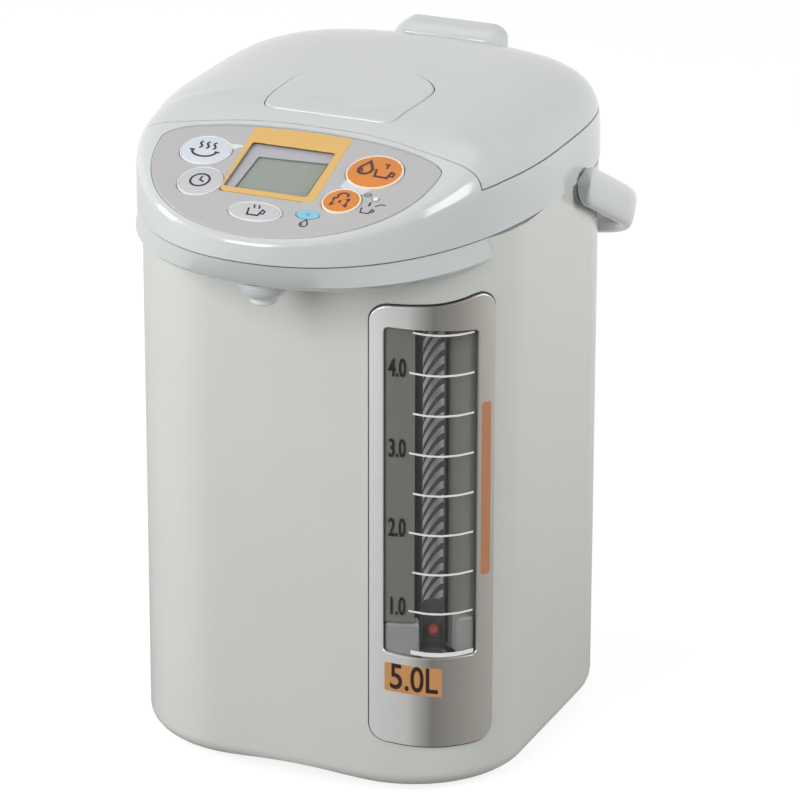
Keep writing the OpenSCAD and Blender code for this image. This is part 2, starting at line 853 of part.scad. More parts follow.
function arc(cx, cz, r, a0, a1, steps) = [for (i = [0 : steps])
    let (a = a0 + (a1 - a0) * i / steps) [cx + r * cos(a), cz + r * sin(a)]];

// Side of the tank from its floor to its neck, t outside its inner face
function tank_side(t) = concat(
    arc(tank_r - 12, tank_floor_z + 12, 12 + t, -90, 0, 6),
    arc(tank_r - 20, tank_top - 30, 20 + t, 0, 70, 6),
    [[neck_r + t, tank_top - 7]]);

module inner_tank() {
    inside = tank_side(0);
    last = len(inside) - 1;
    color("#b9bcbf") translate([0, tank_y, 0]) difference() {
        union() {
            rotate_extrude($fn = 96) polygon(concat([[0, tank_floor_z - tank_t]], tank_side(tank_t),
                [[neck_r + tank_t, tank_top - tank_t], [flange_r, tank_top - tank_t], [flange_r, tank_top],
                 [neck_r, tank_top]],
                [for (i = [last : -1 : 0]) inside[i]], [[0, tank_floor_z]]));
            translate([port_x, port_y - tank_y, tank_floor_z - 7])
                cylinder(r = port_r, h = 7 - tank_t / 2);
        }
        translate([port_x, port_y - tank_y, 0]) cylinder(r = port_bore, h = tank_floor_z + 5);
    }
}

module tank_gasket() {
    color("#d8d8d4") translate([0, tank_y, tank_top + 0.02]) tube(mouth_r + collar_t, mouth_r, collar_z - tank_top - 0.04);
}

module tank_insulation() {
    z0 = tank_floor_z + 5;
    color("#e6e2d6") translate([0, tank_y, z0])
        tube(tank_r + tank_t + 4, tank_r + tank_t + seat, tank_top - 34 - z0);
}

module tank_posts() {
    z0 = chassis_z + chassis_t + 0.02;
    color("#9b9da0") for (a = [70, 195, 255, 345]) rotate([0, 0, a])
        translate([tank_r - 16, 0, z0]) cylinder(r = 4, h = tank_floor_z - tank_t - seat - z0);
}

module base_heater() {
    color("#8a7f6a") translate([0, tank_y, tank_floor_z - tank_t - seat - heater_t])
        tube(heater_r, 12, heater_t);
}

module temperature_sensor() {
    top = tank_floor_z - tank_t - seat;
    color("#c7c9cb") translate([0, tank_y, 0]) {
        translate([0, 0, top - 9]) cylinder(r = 8, h = 9);
        translate([0, 0, top - 11]) cylinder(r = 11, h = 3);
    }
}

// ---------- pump ----------

module pump_inlet_hose() {
    z0 = pump_z0 + pump_h + 1;
    color("#dfe2de") translate([port_x, port_y, z0])
        tube(port_r + 2, port_r + tube_fit, tank_floor_z - tank_t - 0.7 - z0);
}

module pump_casing() {
    nipple_h = tank_floor_z - 7.6 - pump_z0;
    color("#e2e3df") difference() {
        union() {
            translate([port_x, port_y, pump_z0]) {
                cylinder(r = pump_r, h = pump_h);
                cylinder(r = port_r, h = nipple_h);
            }
            translate([port_x, port_y, outlet_z]) rotate([0, 90, outlet_a])
                cylinder(r = port_r, h = pump_r + 15);
        }
        translate([port_x, port_y, pump_z0 + 1.6]) cylinder(r = pump_r - 2, h = pump_h - 3.2);
        translate([port_x, port_y, pump_z0 + 4]) cylinder(r = port_bore, h = 30);
        translate([port_x, port_y, outlet_z]) rotate([0, 90, outlet_a])
            cylinder(r = port_bore, h = pump_r + 20);
    }
}

// Vaned wheel, turned through the casing's floor by the rotor's magnets
module pump_impeller() {
    color("#4a4d50") translate([port_x, port_y, pump_z0 + 1.9]) {
        cylinder(r = 16, h = 1.6);
        cylinder(r = 4, h = 5.5);
        for (i = [0 : 5]) rotate([0, 0, i * 60]) translate([3, -0.6, 1.5]) cube([12.6, 1.2, 4]);
    }
}

module pump_motor() {
    z0 = chassis_z + chassis_t + 0.02;
    z1 = pump_z0 - 0.02;
    color("#a9acae") translate([port_x, port_y, z0]) difference() {
        union() {
            cylinder(r = motor_r, h = z1 - z0);
            translate([0, 0, z1 - z0 - 1.4]) cylinder(r = motor_r + 4, h = 1.4);
        }
        translate([0, 0, 1.5]) cylinder(r = motor_r - 1.5, h = 40);
    }
}

module motor_rotor() {
    z0 = chassis_z + chassis_t + 2;
    z1 = pump_z0 - 0.5;
    color("#6d7073") translate([port_x, port_y, z0]) {
        cylinder(r = motor_r - 3.5, h = 9);
        cylinder(d = shaft_d, h = z1 - z0);
        translate([0, 0, z1 - z0 - 3.6]) cylinder(r = motor_r - 2.2, h = 3.6);
    }
}

// ---------- delivery ----------

module discharge_pipe() {
    run = [[tube_x, tube_y, tube_z1 + seat], [tube_x, tube_y, pipe_z], [0, nozzle_y, pipe_z],
        [0, nozzle_y, lip_z + 8 + seat]];
    past_end = [0, 0, 1];
    color("#d9dcd8") difference() {
        pipe_run(run, pipe_r);
        pipe_run([run[0] - past_end, run[1], run[2], run[3] - past_end], pipe_bore);
    }
}

// ---------- power ----------

module power_board() {
    z0 = chassis_z + 6 + 0.02;
    z1 = z0 + 1.6 - eps;
    color("#b08d57") translate([-78, 37, z0]) cube([80, 50, 1.6]);
    color("#3b3b3b") translate([-70, 48, z1]) cube([22, 18, 16]);
    color("#e8c34a") translate([-40, 50, z1]) cube([18, 12, 14]);
    color("#2f4f7f") translate([-12, 60, z1]) cylinder(r = 7, h = 18);
    color("#9a9c9e") translate([-44, 72, z1]) cube([26, 3, 18]);
}

// Recessed socket for the magnetic plug, with its two pins
module power_inlet() {
    back_wall = back_d - 13;
    color("#3c3e40") translate([0, 0, inlet_z]) {
        difference() {
            union() {
                translate([-inlet_w / 2, back_wall, -inlet_h / 2]) cube([inlet_w, back_d + 0.6 - back_wall, inlet_h]);
                translate([-inlet_w / 2 - 3, back_d - case_t - seat - 2, -inlet_h / 2 - 3])
                    cube([inlet_w + 6, 2, inlet_h + 6]);
            }
            translate([-inlet_w / 2 + 2, back_wall + 2.5, -inlet_h / 2 + 2]) cube([inlet_w - 4, 30, inlet_h - 4]);
        }
        for (x = [-8, 8]) translate([x, back_wall + 2, 0]) rotate([-90, 0, 0]) cylinder(r = 1.6, h = 8);
    }
}

// ---------- lid ----------

// Outline of the press plate: small front corners, a big arc at the back
module lever_plan(grow) {
    arc_r = lever_half_w * 1.12 + grow;
    w = lever_half_w + grow;
    side_a = acos(w / arc_r);
    front = -lever_front - grow;
    back_cy = lever_back - lever_half_w * 1.12;
    polygon(concat(
        arc(-w + 5, front + 5, 5, 180, 270, 4),
        arc(w - 5, front + 5, 5, 270, 360, 4),
        arc(0, back_cy, arc_r, side_a, 180 - side_a, 14)));
}

// Tray under the press plate, with the pivot pin's bores and the catch springs' ribs
module lever_tray() {
    grow = lever_gap + tray_wall;
    color("#bfc1bd") difference() {
        union() {
            intersection() {
                translate([0, 0, tray_floor - tray_t]) linear_extrude(60) lever_plan(grow);
                roof_band(-shell_t - 2 * seat, 60, 60);
                translate([-60, -100, tray_floor - tray_t]) cube([120, 200, 60]);
            }
            for (x = [-latch_rib_x, latch_rib_x])
                translate([x - 2.5, lid_front_y + 18.4, latch_z + 0.1]) cube([5, 2, tray_floor - latch_z - 0.6]);
        }
        translate([0, 0, tray_floor]) linear_extrude(60) lever_plan(lever_gap + tray_fit);
        translate([0, lever_axis_y, lever_axis_z]) x_rod(lever_pin_d + pin_fit, 2 * lever_half_w + 30);
    }
}

module lid_shell() {
    wall_z = inner_z + inner_t;
    block_side = block_half_w + seat + lid_edge;
    color("#c8cac6") difference() {
        union() {
            difference() {
                head_solid(0, 0);
                head_solid(shell_t, 1);
                translate([0, 0, tray_floor]) linear_extrude(60) lever_plan(lever_gap);
            }
            edge_wall(lid_edge, shell_t, wall_z, shell_t - 0.8);
            cross_wall(block_front - seat - block_t, block_t, block_half_w + 3, wall_z, shell_t - 0.8);
        }
        translate([-200, -200, seam_z - 5]) cube([400, 400, lid_z + lid_edge - seam_z + 5]);
        translate([0, 0, seam_z]) linear_extrude(100) difference() {
            translate([-140, -200]) square([280, 190]);
            behind_edge(lid_edge);
        }
        translate([-block_side, block_front - seat, seam_z]) cube([2 * block_side, 60, 100]);
        translate([0, lid_front_y, latch_z + latch_h / 2])
            cube([2 * latch_half_w + 0.6, 14, latch_h + 0.6], center = true);
        translate([0, block_front, hinge_z + 10]) cube([24, 12, 4], center = true);
        translate([0, valve_y + 36, crown_z]) for (i = [-2 : 2]) translate([i * 5, 0, 0])
            cube([2, 8, 20], center = true);
    }
}

// Plan of the lid's underside, inside its shell
module lid_plan(inset) {
    intersection() {
        polygon([for (a = ring_angles()) outline(a, inset)]);
        behind_edge(lid_edge + seat);
    }
}

// Underside of the lid with the plug that reaches down to the tank's neck
module lid_inner() {
    color("#d2d3cf") difference() {
        union() {
            translate([0, 0, inner_z]) linear_extrude(inner_t - 0.02) lid_plan(shell_t + 4);
            translate([0, tank_y, plug_z0]) cylinder(r = plug_r, h = inner_z + 1 - plug_z0, $fn = 96);
            translate([0, tank_y, plug_z0 + 2]) cylinder(r = plug_r + 4, h = 2, $fn = 96);
        }
        translate([0, tank_y, plug_z0 + 2]) cylinder(r = plug_r - 2, h = 40, $fn = 96);
        translate([0, valve_y, plug_z0 - 1]) cylinder(r = 3, h = 6);
        translate([-block_half_w - 1, block_front - seat, inner_z - 1])
            cube([2 * (block_half_w + 1), 60, 10]);
    }
}

module lid_gasket() {
    color("#e8e8e4") translate([0, tank_y, tank_top]) rotate_extrude($fn = 96)
        polygon([[plug_r + 0.3, 0.8], [plug_r + 2.2, 0.3], [plug_r + 5, 0.3], [plug_r + 5, 1.2],
            [plug_r + 3.2, 1.8], [plug_r + 3.2, 4.7], [plug_r + 0.3, 4.7]]);
}

// Press plate that follows the roof, with two pivot lugs under it
module lid_lever() {
    lug_width = 6;
    lug_top = roof_z(lever_axis_y) + lever_proud - lever_t / 2;
    dimple_tilt = atan(panel_slope * max(0, 1 - (dimple_y - panel_top_y) / ease_len));
    color("#cbcdc9") difference() {
        union() {
            intersection() {
                translate([0, 0, tray_floor]) linear_extrude(60) lever_plan(0);
                roof_band(lever_proud, lever_t, 60);
            }
            for (x = [-1, 1]) translate([x * (lever_half_w - lug_width), lever_axis_y, 0]) {
                translate([0, 0, lever_axis_z]) x_rod(7, lug_width);
                translate([-lug_width / 2, -3, lever_axis_z]) cube([lug_width, 6, lug_top - lever_axis_z]);
            }
        }
        translate([0, lever_axis_y, lever_axis_z]) x_rod(lever_pin_d + pin_fit, 200);
        translate([0, dimple_y, roof_z(dimple_y) + lever_proud]) rotate([dimple_tilt, 0, 0])
            translate([0, 0, dimple_ring + dimple_r - dimple_depth]) rotate([90, 0, 0])
            rotate_extrude($fn = 200) translate([dimple_ring, 0]) circle(dimple_r);
    }
}

module lever_pin() {
    color("#a5a7a9") translate([0, lever_axis_y, lever_axis_z])
        x_rod(lever_pin_d, 2 * (lever_half_w + lever_gap + tray_wall));
}

module lever_spring() {
    color("#8e9194") translate([0, lever_axis_y - 16, tray_floor + 0.02]) spring(3.2, 0.5, 7);
}

// Sliding tongue behind the lid's front wall, sloped where it meets the head
module lid_latch() {
    front = lid_front_y + 0.2;
    color("#e3e4e0") difference() {
        union() {
            translate([-latch_half_w, front, latch_z]) cube([2 * latch_half_w, 12, latch_h]);
            translate([-22, front + 6, latch_z]) cube([44, 6, latch_h]);
        }
        translate([-30, front, latch_z + latch_h / 2]) rotate([45, 0, 0]) cube([60, 6, 6], center = false);
    }
}

module latch_springs() {
    color("#8e9194") for (x = [-latch_rib_x, latch_rib_x])
        translate([x, lid_front_y + 18.38, latch_z + latch_h / 2])
            rotate([90, 0, 0]) spring(1.1, 0.3, 3);
}

// Upright housing of the ball that shuts the steam way if the pot tips over
module steam_valve() {
    color("#dcddd9") translate([0, valve_y, plug_z0 + 2.02]) difference() {
        cylinder(r = valve_r, h = 14);
        translate([0, 0, 2]) cylinder(r = ball_d / 2 + 0.6, h = 10);
        translate([0, 0, -1]) cylinder(r = 2.5, h = 30);
    }
}

module valve_ball() {
    color("#b9bcbf") translate([0, valve_y, plug_z0 + 4.6 + ball_d / 2]) sphere(d = ball_d);
}

// ---------- handle ----------

// Plan of the bail on its own level: pivots on the origin's line, grip at the back
module bail_plan(half_w, reach, r) {
    translate([-half_w, 0]) square([2 * half_w, reach - r]);
    translate([-half_w + r, 0]) square([2 * (half_w - r), reach]);
    intersection() {
        for (x = [-1, 1]) translate([x * (half_w - r), reach - r]) circle(r, $fn = 96);
        translate([-half_w, 0]) square([2 * half_w, reach]);
    }
}

module handle() {
    arm_t = handle_half_w - arm_in;
    color("#c9cbc7") translate([0, pivot_y, pivot_z]) rotate([-handle_droop, 0, 0]) difference() {
        union() {
            translate([0, 0, -arm_w / 2]) linear_extrude(arm_w) difference() {
                bail_plan(handle_half_w, handle_len, arm_corner_r);
                translate([0, -1]) bail_plan(arm_in, handle_len - grip_t + 1, arm_corner_r - 12);
            }
            for (x = [-1, 1]) translate([x * (arm_in + arm_t / 2), 0, 0]) {
                x_rod(arm_w, arm_t);
                translate([-x * 4, 0, 0]) x_rod(stub_d, arm_t + 7);
            }
        }
        for (x = [-1, 1]) translate([x * (arm_in - 4), 0, 0]) x_rod(3.1, 14);
    }
}

module handle_bearings() {
    face = head_half_w - 0.2;
    flange = body_w / 2 - case_t - seat - 2;
    color("#aeb0ae") translate([0, pivot_y, pivot_z]) difference() {
        for (s = [0, 1]) mirror([s, 0, 0]) {
            translate([(face + flange) / 2, 0, 0]) x_rod(2 * bearing_r, face - flange);
            translate([flange + 1, 0, 0]) x_rod(2 * (bearing_r + 3), 2);
        }
        x_rod(stub_d + pin_fit, 300);
    }
}

module handle_screws() {
    stub_end = arm_in - 7.5;
    color("#9fa1a3") translate([0, pivot_y, pivot_z]) for (s = [0, 1]) mirror([s, 0, 0]) {
        translate([stub_end - 2.3, 0, 0]) x_rod(11, 2);
        translate([stub_end + 1.7, 0, 0]) x_rod(3, 9);
    }
}

outer_case();
bottom_cover();
chassis();
rubber_feet();
bottom_screws();
beak_base();
top_cover();
mouth_collar();
hinge_bracket();
hinge_block();
hinge_pin();
control_panel();
display_window();
display_module();
control_board();
tact_switches();
boil_button();
timer_button();
keep_warm_button();
dispense_button();
unlock_button();
panel_lamps();
gauge_frame();
gauge_window();
gauge_backing();
gauge_strip();
gauge_tube();
gauge_float();
tube_upper_sleeve();
riser_elbow();
inner_tank();
tank_gasket();
tank_insulation();
tank_posts();
base_heater();
temperature_sensor();
pump_inlet_hose();
pump_casing();
pump_impeller();
pump_motor();
motor_rotor();
discharge_pipe();
spout_nozzle();
spout_tip();
power_board();
power_inlet();
lid_shell();
lid_inner();
lid_gasket();
lever_tray();
lid_lever();
lever_pin();
lever_spring();
lid_latch();
latch_springs();
steam_valve();
valve_ball();
handle();
handle_bearings();
handle_screws();
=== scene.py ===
import json
import math
import bmesh
import bpy
import numpy as np
from mathutils import Matrix, Vector
from mathutils.geometry import tessellate_polygon
from mathutils.kdtree import KDTree

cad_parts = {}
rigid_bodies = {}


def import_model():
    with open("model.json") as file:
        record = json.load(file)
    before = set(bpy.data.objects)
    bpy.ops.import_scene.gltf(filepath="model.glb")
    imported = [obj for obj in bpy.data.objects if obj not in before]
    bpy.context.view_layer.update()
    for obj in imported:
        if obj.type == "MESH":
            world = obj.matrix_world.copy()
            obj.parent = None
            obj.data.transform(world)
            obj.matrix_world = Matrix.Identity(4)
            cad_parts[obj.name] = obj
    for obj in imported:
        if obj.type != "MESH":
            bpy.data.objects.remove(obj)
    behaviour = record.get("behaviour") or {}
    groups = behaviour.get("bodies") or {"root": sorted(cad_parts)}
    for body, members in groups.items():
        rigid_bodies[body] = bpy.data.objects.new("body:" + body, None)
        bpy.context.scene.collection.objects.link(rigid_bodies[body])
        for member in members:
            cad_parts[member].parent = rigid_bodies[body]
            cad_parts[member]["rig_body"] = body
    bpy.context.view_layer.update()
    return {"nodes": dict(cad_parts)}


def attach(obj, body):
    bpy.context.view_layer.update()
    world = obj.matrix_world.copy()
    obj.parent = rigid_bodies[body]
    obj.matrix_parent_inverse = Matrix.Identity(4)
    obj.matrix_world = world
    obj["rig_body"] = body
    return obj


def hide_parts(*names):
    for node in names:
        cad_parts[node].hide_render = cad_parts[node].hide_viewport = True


# The looks of the electric thermo pot. Places and sizes are in mm in the pot's own frame: x to the right,
# y to the back, z up from the table. A visual piece replaces a CAD node, or lies on one as print or trim.

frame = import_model()
nodes = frame["nodes"]
scene = bpy.context.scene
MM = 0.001

# ---------------------------------------------------------------- materials


def new_material(name):
    m = bpy.data.materials.new(name)
    m.use_nodes = True
    t = m.node_tree
    t.nodes.clear()
    out = t.nodes.new("ShaderNodeOutputMaterial")
    p = t.nodes.new("ShaderNodeBsdfPrincipled")
    t.links.new(p.outputs[0], out.inputs[0])
    return m, t, p


def noise(t, scale, detail=2.0, rough=0.5):
    c = t.nodes.new("ShaderNodeTexCoord")
    n = t.nodes.new("ShaderNodeTexNoise")
    n.inputs["Scale"].default_value = scale
    n.inputs["Detail"].default_value = detail
    n.inputs["Roughness"].default_value = rough
    t.links.new(c.outputs["Object"], n.inputs["Vector"])
    return n


def mixed(t, fac, a, b):
    """Colour a where fac is 0 and b where it is 1; sockets 6 and 7 of the node are its two colours."""
    m = t.nodes.new("ShaderNodeMix")
    m.data_type = "RGBA"
    m.inputs[6].default_value = (*a, 1)
    m.inputs[7].default_value = (*b, 1)
    t.links.new(fac, m.inputs[0])
    return m.outputs[2]


def ranged(t, value, lo, hi, from_lo=0.0, from_hi=1.0):
    r = t.nodes.new("ShaderNodeMapRange")
    for socket, level in zip(r.inputs[1:5], (from_lo, from_hi, lo, hi)):
        socket.default_value = level
    t.links.new(value, r.inputs[0])
    return r.outputs[0]


def bump(t, p, height, strength, distance=0.0002):
    b = t.nodes.new("ShaderNodeBump")
    b.inputs["Strength"].default_value = strength
    b.inputs["Distance"].default_value = distance
    t.links.new(height, b.inputs["Height"])
    t.links.new(b.outputs[0], p.inputs["Normal"])


def plastic(name, color, rough=0.22, coat=0.0, vary=0.03, grain=900, strength=0.04, ior=1.5):
    """Moulded plastic: a faint clouding of colour, uneven gloss and a fine skin."""
    m, t, p = new_material(name)
    big, fine = noise(t, 22, 3), noise(t, grain, 3, 0.6)
    dark = tuple(c * (1 - vary) for c in color)
    lite = tuple(min(1, c * (1 + vary)) for c in color)
    t.links.new(mixed(t, big.outputs[0], dark, lite), p.inputs["Base Color"])
    t.links.new(ranged(t, noise(t, 60, 4).outputs[0], rough * 0.8, rough * 1.25), p.inputs["Roughness"])
    p.inputs["IOR"].default_value = ior
    p.inputs["Coat Weight"].default_value = coat
    p.inputs["Coat Roughness"].default_value = 0.06
    bump(t, p, fine.outputs[0], strength)
    return m


def metal(name, color, rough=0.32, stretch=(1, 1, 1), strength=0.15, metallic=1.0, scale=400):
    """Metal with a brushed or satin grain drawn out along one axis."""
    m, t, p = new_material(name)
    c = t.nodes.new("ShaderNodeTexCoord")
    g = t.nodes.new("ShaderNodeMapping")
    g.inputs["Scale"].default_value = stretch
    n = t.nodes.new("ShaderNodeTexNoise")
    n.inputs["Scale"].default_value = scale
    n.inputs["Detail"].default_value = 4
    t.links.new(c.outputs["Object"], g.inputs[0])
    t.links.new(g.outputs[0], n.inputs["Vector"])
    dark = tuple(x * 0.92 for x in color)
    t.links.new(mixed(t, n.outputs[0], dark, color), p.inputs["Base Color"])
    t.links.new(ranged(t, n.outputs[0], rough * 0.75, rough * 1.3), p.inputs["Roughness"])
    p.inputs["Metallic"].default_value = metallic
    bump(t, p, n.outputs[0], strength, 0.0001)
    return m


def glass(name, tint, rough=0.03, alpha=0.25):
    """Thin clear plastic: mostly see-through, with its own gloss and a few smears."""
    m, t, p = new_material(name)
    n = noise(t, 35, 3)
    t.links.new(mixed(t, n.outputs[0], tuple(c * 0.97 for c in tint), tint), p.inputs["Base Color"])
    t.links.new(ranged(t, n.outputs[0], rough * 0.6, rough * 1.6), p.inputs["Roughness"])
    p.inputs["Alpha"].default_value = alpha
    p.inputs["IOR"].default_value = 1.46
    return m


def srgb(*levels):
    """A screen colour, from 0 to 255, as linear light."""
    shares = [v / 255 for v in levels]
    return tuple(v / 12.92 if v <= 0.04045 else ((v + 0.055) / 1.055) ** 2.4 for v in shares)


IVORY = srgb(212, 214, 208)
M = {
    "key_ice": plastic("key_ice", srgb(214, 220, 230), 0.3, 0.1),
    "print_black": plastic("print_black", srgb(16, 16, 18), 0.4),
    "print_dark": plastic("print_dark", srgb(40, 16, 14), 0.4),
    "strip": plastic("strip_dark", srgb(84, 86, 80), 0.4),
    "band": plastic("strip_white", srgb(252, 254, 252), 0.4),
    "key_link": plastic("key_link", srgb(214, 219, 228), 0.35),
    "dark_ink": plastic("dark_ink", srgb(74, 34, 30), 0.45),
    "blue_dark": plastic("lamp_blue_dark", srgb(110, 168, 196), 0.25),
    "lamp_grey": plastic("lamp_grey", srgb(136, 142, 156), 0.25, 0.2),
    "gauge_plate": plastic("gauge_plate", srgb(116, 115, 110), 0.35),
    "badge": plastic("badge_orange", srgb(206, 148, 92), 0.35),
    "badge_dull": plastic("badge_copper", srgb(190, 130, 92), 0.35),
    "case": plastic("case_plastic", IVORY, 0.16, 0.5),
    "cover": plastic("cover_plastic", srgb(208, 211, 211), 0.16, 0.5),
    "inner": plastic("inner_plastic", srgb(200, 202, 197), 0.42, grain=500, strength=0.1),
    "white": plastic("white_plastic", srgb(222, 222, 216), 0.4, grain=500, strength=0.1),
    "base": plastic("base_plastic", srgb(92, 94, 96), 0.5, grain=350, strength=0.3),
    "foot": plastic("foot_rubber", srgb(42, 42, 42), 0.75, grain=260, strength=0.4),
    "black": plastic("black_plastic", srgb(38, 38, 40), 0.35),
    "panel": plastic("panel_face", srgb(190, 188, 188), 0.42, 0.0, vary=0.015, grain=1600, strength=0.05),
    "ink": plastic("ink", srgb(30, 27, 34), 0.45),
    "lcd_frame": plastic("display_border", srgb(228, 184, 104), 0.35, vary=0.02),
    "lcd": plastic("display_face", srgb(156, 165, 154), 0.25, vary=0.03),
    "label": plastic("display_label", srgb(186, 186, 194), 0.3, vary=0.02),
    "key_pale": plastic("key_pale", srgb(200, 201, 203), 0.3, 0.1),
    "rim": plastic("key_rim", srgb(234, 236, 238), 0.3, 0.1),
    "orange": plastic("key_orange", srgb(222, 130, 24), 0.26, 0.1),
    "cream": plastic("key_cream", srgb(246, 232, 208), 0.35),
    "blue": plastic("lamp_blue", srgb(132, 196, 220), 0.25, 0.2),
    "silver": metal("frame_silver", srgb(252, 252, 252), 0.36, (1, 1, 1), 0.05, 0.85, 1500),
    "backing": plastic("gauge_grey", srgb(122, 123, 116), 0.4),
    "holder": plastic("holder_grey", srgb(150, 152, 150), 0.35),
    "red": plastic("float_red", srgb(200, 30, 30), 0.2, 0.3),
    "tick": plastic("tick_white", srgb(236, 238, 236), 0.4),
    "clear": glass("clear_plastic", (0.3, 0.31, 0.3), 0.03, 0.05),
    "tube": glass("tube_glass", (0.6, 0.63, 0.62), 0.03, 0.06),
    "silicone": plastic("silicone", srgb(224, 228, 224), 0.5, grain=300, strength=0.15, ior=1.41),
    "steel": metal("tank_steel", srgb(190, 194, 198), 0.24, (1, 1, 0.04), 0.2),
    "dark_steel": metal("turned_steel", srgb(150, 152, 154), 0.3, (0.05, 1, 1), 0.2),
    "plated": metal("plated_metal", srgb(178, 180, 182), 0.35),
    "heater": metal("heater_cast", srgb(140, 130, 110), 0.55, strength=0.4, scale=250),
    "wool": plastic("wool", srgb(230, 226, 214), 0.9, grain=180, strength=0.9, vary=0.08),
    "green": plastic("board_green", srgb(64, 124, 82), 0.35),
    "brown": plastic("board_brown", srgb(176, 140, 88), 0.45),
}

# painted reflection: the gauge frame's satin silver is painted lighter on its front side and darker over the
# corner
FRAME_SPAN = (0.046, 0.097)  # the frame's left and right end in x, in metres
FRAME_PAINTED_SHEEN = ((0, (246, 246, 245)), (0.33, (244, 243, 241)), (0.56, (160, 157, 150)), (1, (204, 199, 192)))


def painted_sheen_across(material, span, sheen_stops):
    """Multiply a material's colour by a ramp of painted light and dark along x: a painted reflection."""
    t = material.node_tree
    axes, ramp, sheen_mix = (t.nodes.new("ShaderNode" + k) for k in ("SeparateXYZ", "ValToRGB", "Mix"))
    t.links.new(t.nodes.new("ShaderNodeTexCoord").outputs["Object"], axes.inputs[0])
    t.links.new(ranged(t, axes.outputs[0], 0, 1, *span), ramp.inputs[0])
    stops = ramp.color_ramp.elements
    for at, color in sheen_stops[1:-1]:
        stops.new(at)
    for stop, (at, color) in zip(stops, sheen_stops):
        stop.color = (*srgb(*color), 1)
    base = next(n for n in t.nodes if n.type == "BSDF_PRINCIPLED").inputs["Base Color"]
    sheen_mix.data_type = "RGBA"
    sheen_mix.blend_type = "MULTIPLY"
    sheen_mix.inputs[0].default_value = 1
    t.links.new(base.links[0].from_socket, sheen_mix.inputs[6])
    t.links.new(ramp.outputs[0], sheen_mix.inputs[7])
    t.links.new(sheen_mix.outputs[2], base)


# paint the reflection's light and dark into the gauge frame's silver
painted_sheen_across(M["silver"], FRAME_SPAN, FRAME_PAINTED_SHEEN)

CAD_LOOKS = {
    "outer_case": "case", "bottom_cover": "base", "chassis": "white", "rubber_feet": "foot",
    "bottom_screws": "plated", "beak_base": "cover", "top_cover": "cover", "mouth_collar": "inner",
    "hinge_bracket": "plated", "hinge_block": "cover", "hinge_pin": "dark_steel", "control_panel": "panel",
    "display_window": "clear", "display_module": "lcd", "control_board": "green", "tact_switches": "black",
    "boil_button": "key_pale", "timer_button": "key_pale", "keep_warm_button": "key_pale",
    "dispense_button": "orange", "unlock_button": "orange", "panel_lamps": "blue", "gauge_frame": "silver",
    "gauge_window": "clear", "gauge_backing": "backing", "gauge_strip": "strip", "gauge_tube": "tube",
    "gauge_float": "red", "tube_upper_sleeve": "silicone", "riser_elbow": "silicone", "inner_tank": "steel",
    "tank_gasket": "silicone", "tank_insulation": "wool", "tank_posts": "plated", "base_heater": "heater",
    "temperature_sensor": "plated", "pump_inlet_hose": "silicone", "pump_casing": "white",
    "pump_impeller": "black", "pump_motor": "plated", "motor_rotor": "dark_steel",
    "discharge_pipe": "silicone", "spout_nozzle": "cover", "spout_tip": "white", "power_board": "brown",
    "power_inlet": "black", "lid_shell": "cover", "lid_inner": "inner", "lid_gasket": "silicone",
    "lever_tray": "inner", "lid_lever": "cover", "lever_pin": "dark_steel", "lever_spring": "dark_steel",
    "lid_latch": "white", "latch_springs": "dark_steel", "steam_valve": "white", "valve_ball": "steel",
    "handle": "cover", "handle_bearings": "inner", "handle_screws": "plated",
}
for node, look in CAD_LOOKS.items():
    o = nodes[node]
    o.data.materials.clear()
    o.data.materials.append(M[look])

# ---------------------------------------------------------------- mesh helpers


def obj_from(name, verts_mm, faces, look, smooth=True, angle=35):
    me = bpy.data.meshes.new(name)
    me.from_pydata([tuple(v) for v in np.asarray(verts_mm, float) * MM], [], [tuple(f) for f in faces])
    me.validate()
    o = bpy.data.objects.new(name, me)
    scene.collection.objects.link(o)
    me.materials.append(M[look])
    tidy(o, smooth, angle)
    return o


def tidy(o, smooth=True, angle=35, weld=1e-6):
    """Join doubled points, turn the faces outward, and mark edges sharper than the angle."""
    bm = bmesh.new()
    bm.from_mesh(o.data)
    bmesh.ops.remove_doubles(bm, verts=bm.verts, dist=weld)
    bmesh.ops.recalc_face_normals(bm, faces=bm.faces)
    for f in bm.faces:
        f.smooth = smooth
    lim = math.radians(angle)
    for e in bm.edges:
        e.smooth = not (len(e.link_faces) != 2 or e.calc_face_angle(0) > lim)
    bm.to_mesh(o.data)
    bm.free()


def cut(o, *cutters, op="DIFFERENCE"):
    """Exact booleans with every cutter in turn; the cutters are used up."""
    for c in cutters:
        m = o.modifiers.new("cut", "BOOLEAN")
        m.operation, m.solver, m.object = op, "EXACT", c
    apply(o)
    for c in cutters:
        bpy.data.objects.remove(c)


def apply(o):
    dg = bpy.context.evaluated_depsgraph_get()
    me = bpy.data.meshes.new_from_object(o.evaluated_get(dg))
    old = o.data
    o.modifiers.clear()
    o.data = me
    bpy.data.meshes.remove(old)


def box_obj(lo, hi):
    v = [(x, y, z) for x in (lo[0], hi[0]) for y in (lo[1], hi[1]) for z in (lo[2], hi[2])]
    f = [(0, 1, 3, 2), (4, 6, 7, 5), (0, 4, 5, 1), (2, 3, 7, 6), (0, 2, 6, 4), (1, 5, 7, 3)]
    return obj_from("cutter", v, f, "cover", False)


def arc_pts(cx, cy, r, a0, a1, n):
    return [(cx + r * math.cos(a), cy + r * math.sin(a)) for a in np.radians(np.linspace(a0, a1, n + 1))]


def disc(cx, cy, r, n=48):
    return arc_pts(cx, cy, r, 0, 360, n)[:-1]


def oval(a, b, n=64):
    return [(a * math.cos(k), b * math.sin(k)) for k in np.linspace(0, 2 * math.pi, n, endpoint=False)]


def rounded(x0, x1, y0, y1, r, n=6):
    return (arc_pts(x0 + r, y0 + r, r, 180, 270, n) + arc_pts(x1 - r, y0 + r, r, 270, 360, n)
            + arc_pts(x1 - r, y1 - r, r, 0, 90, n) + arc_pts(x0 + r, y1 - r, r, 90, 180, n))


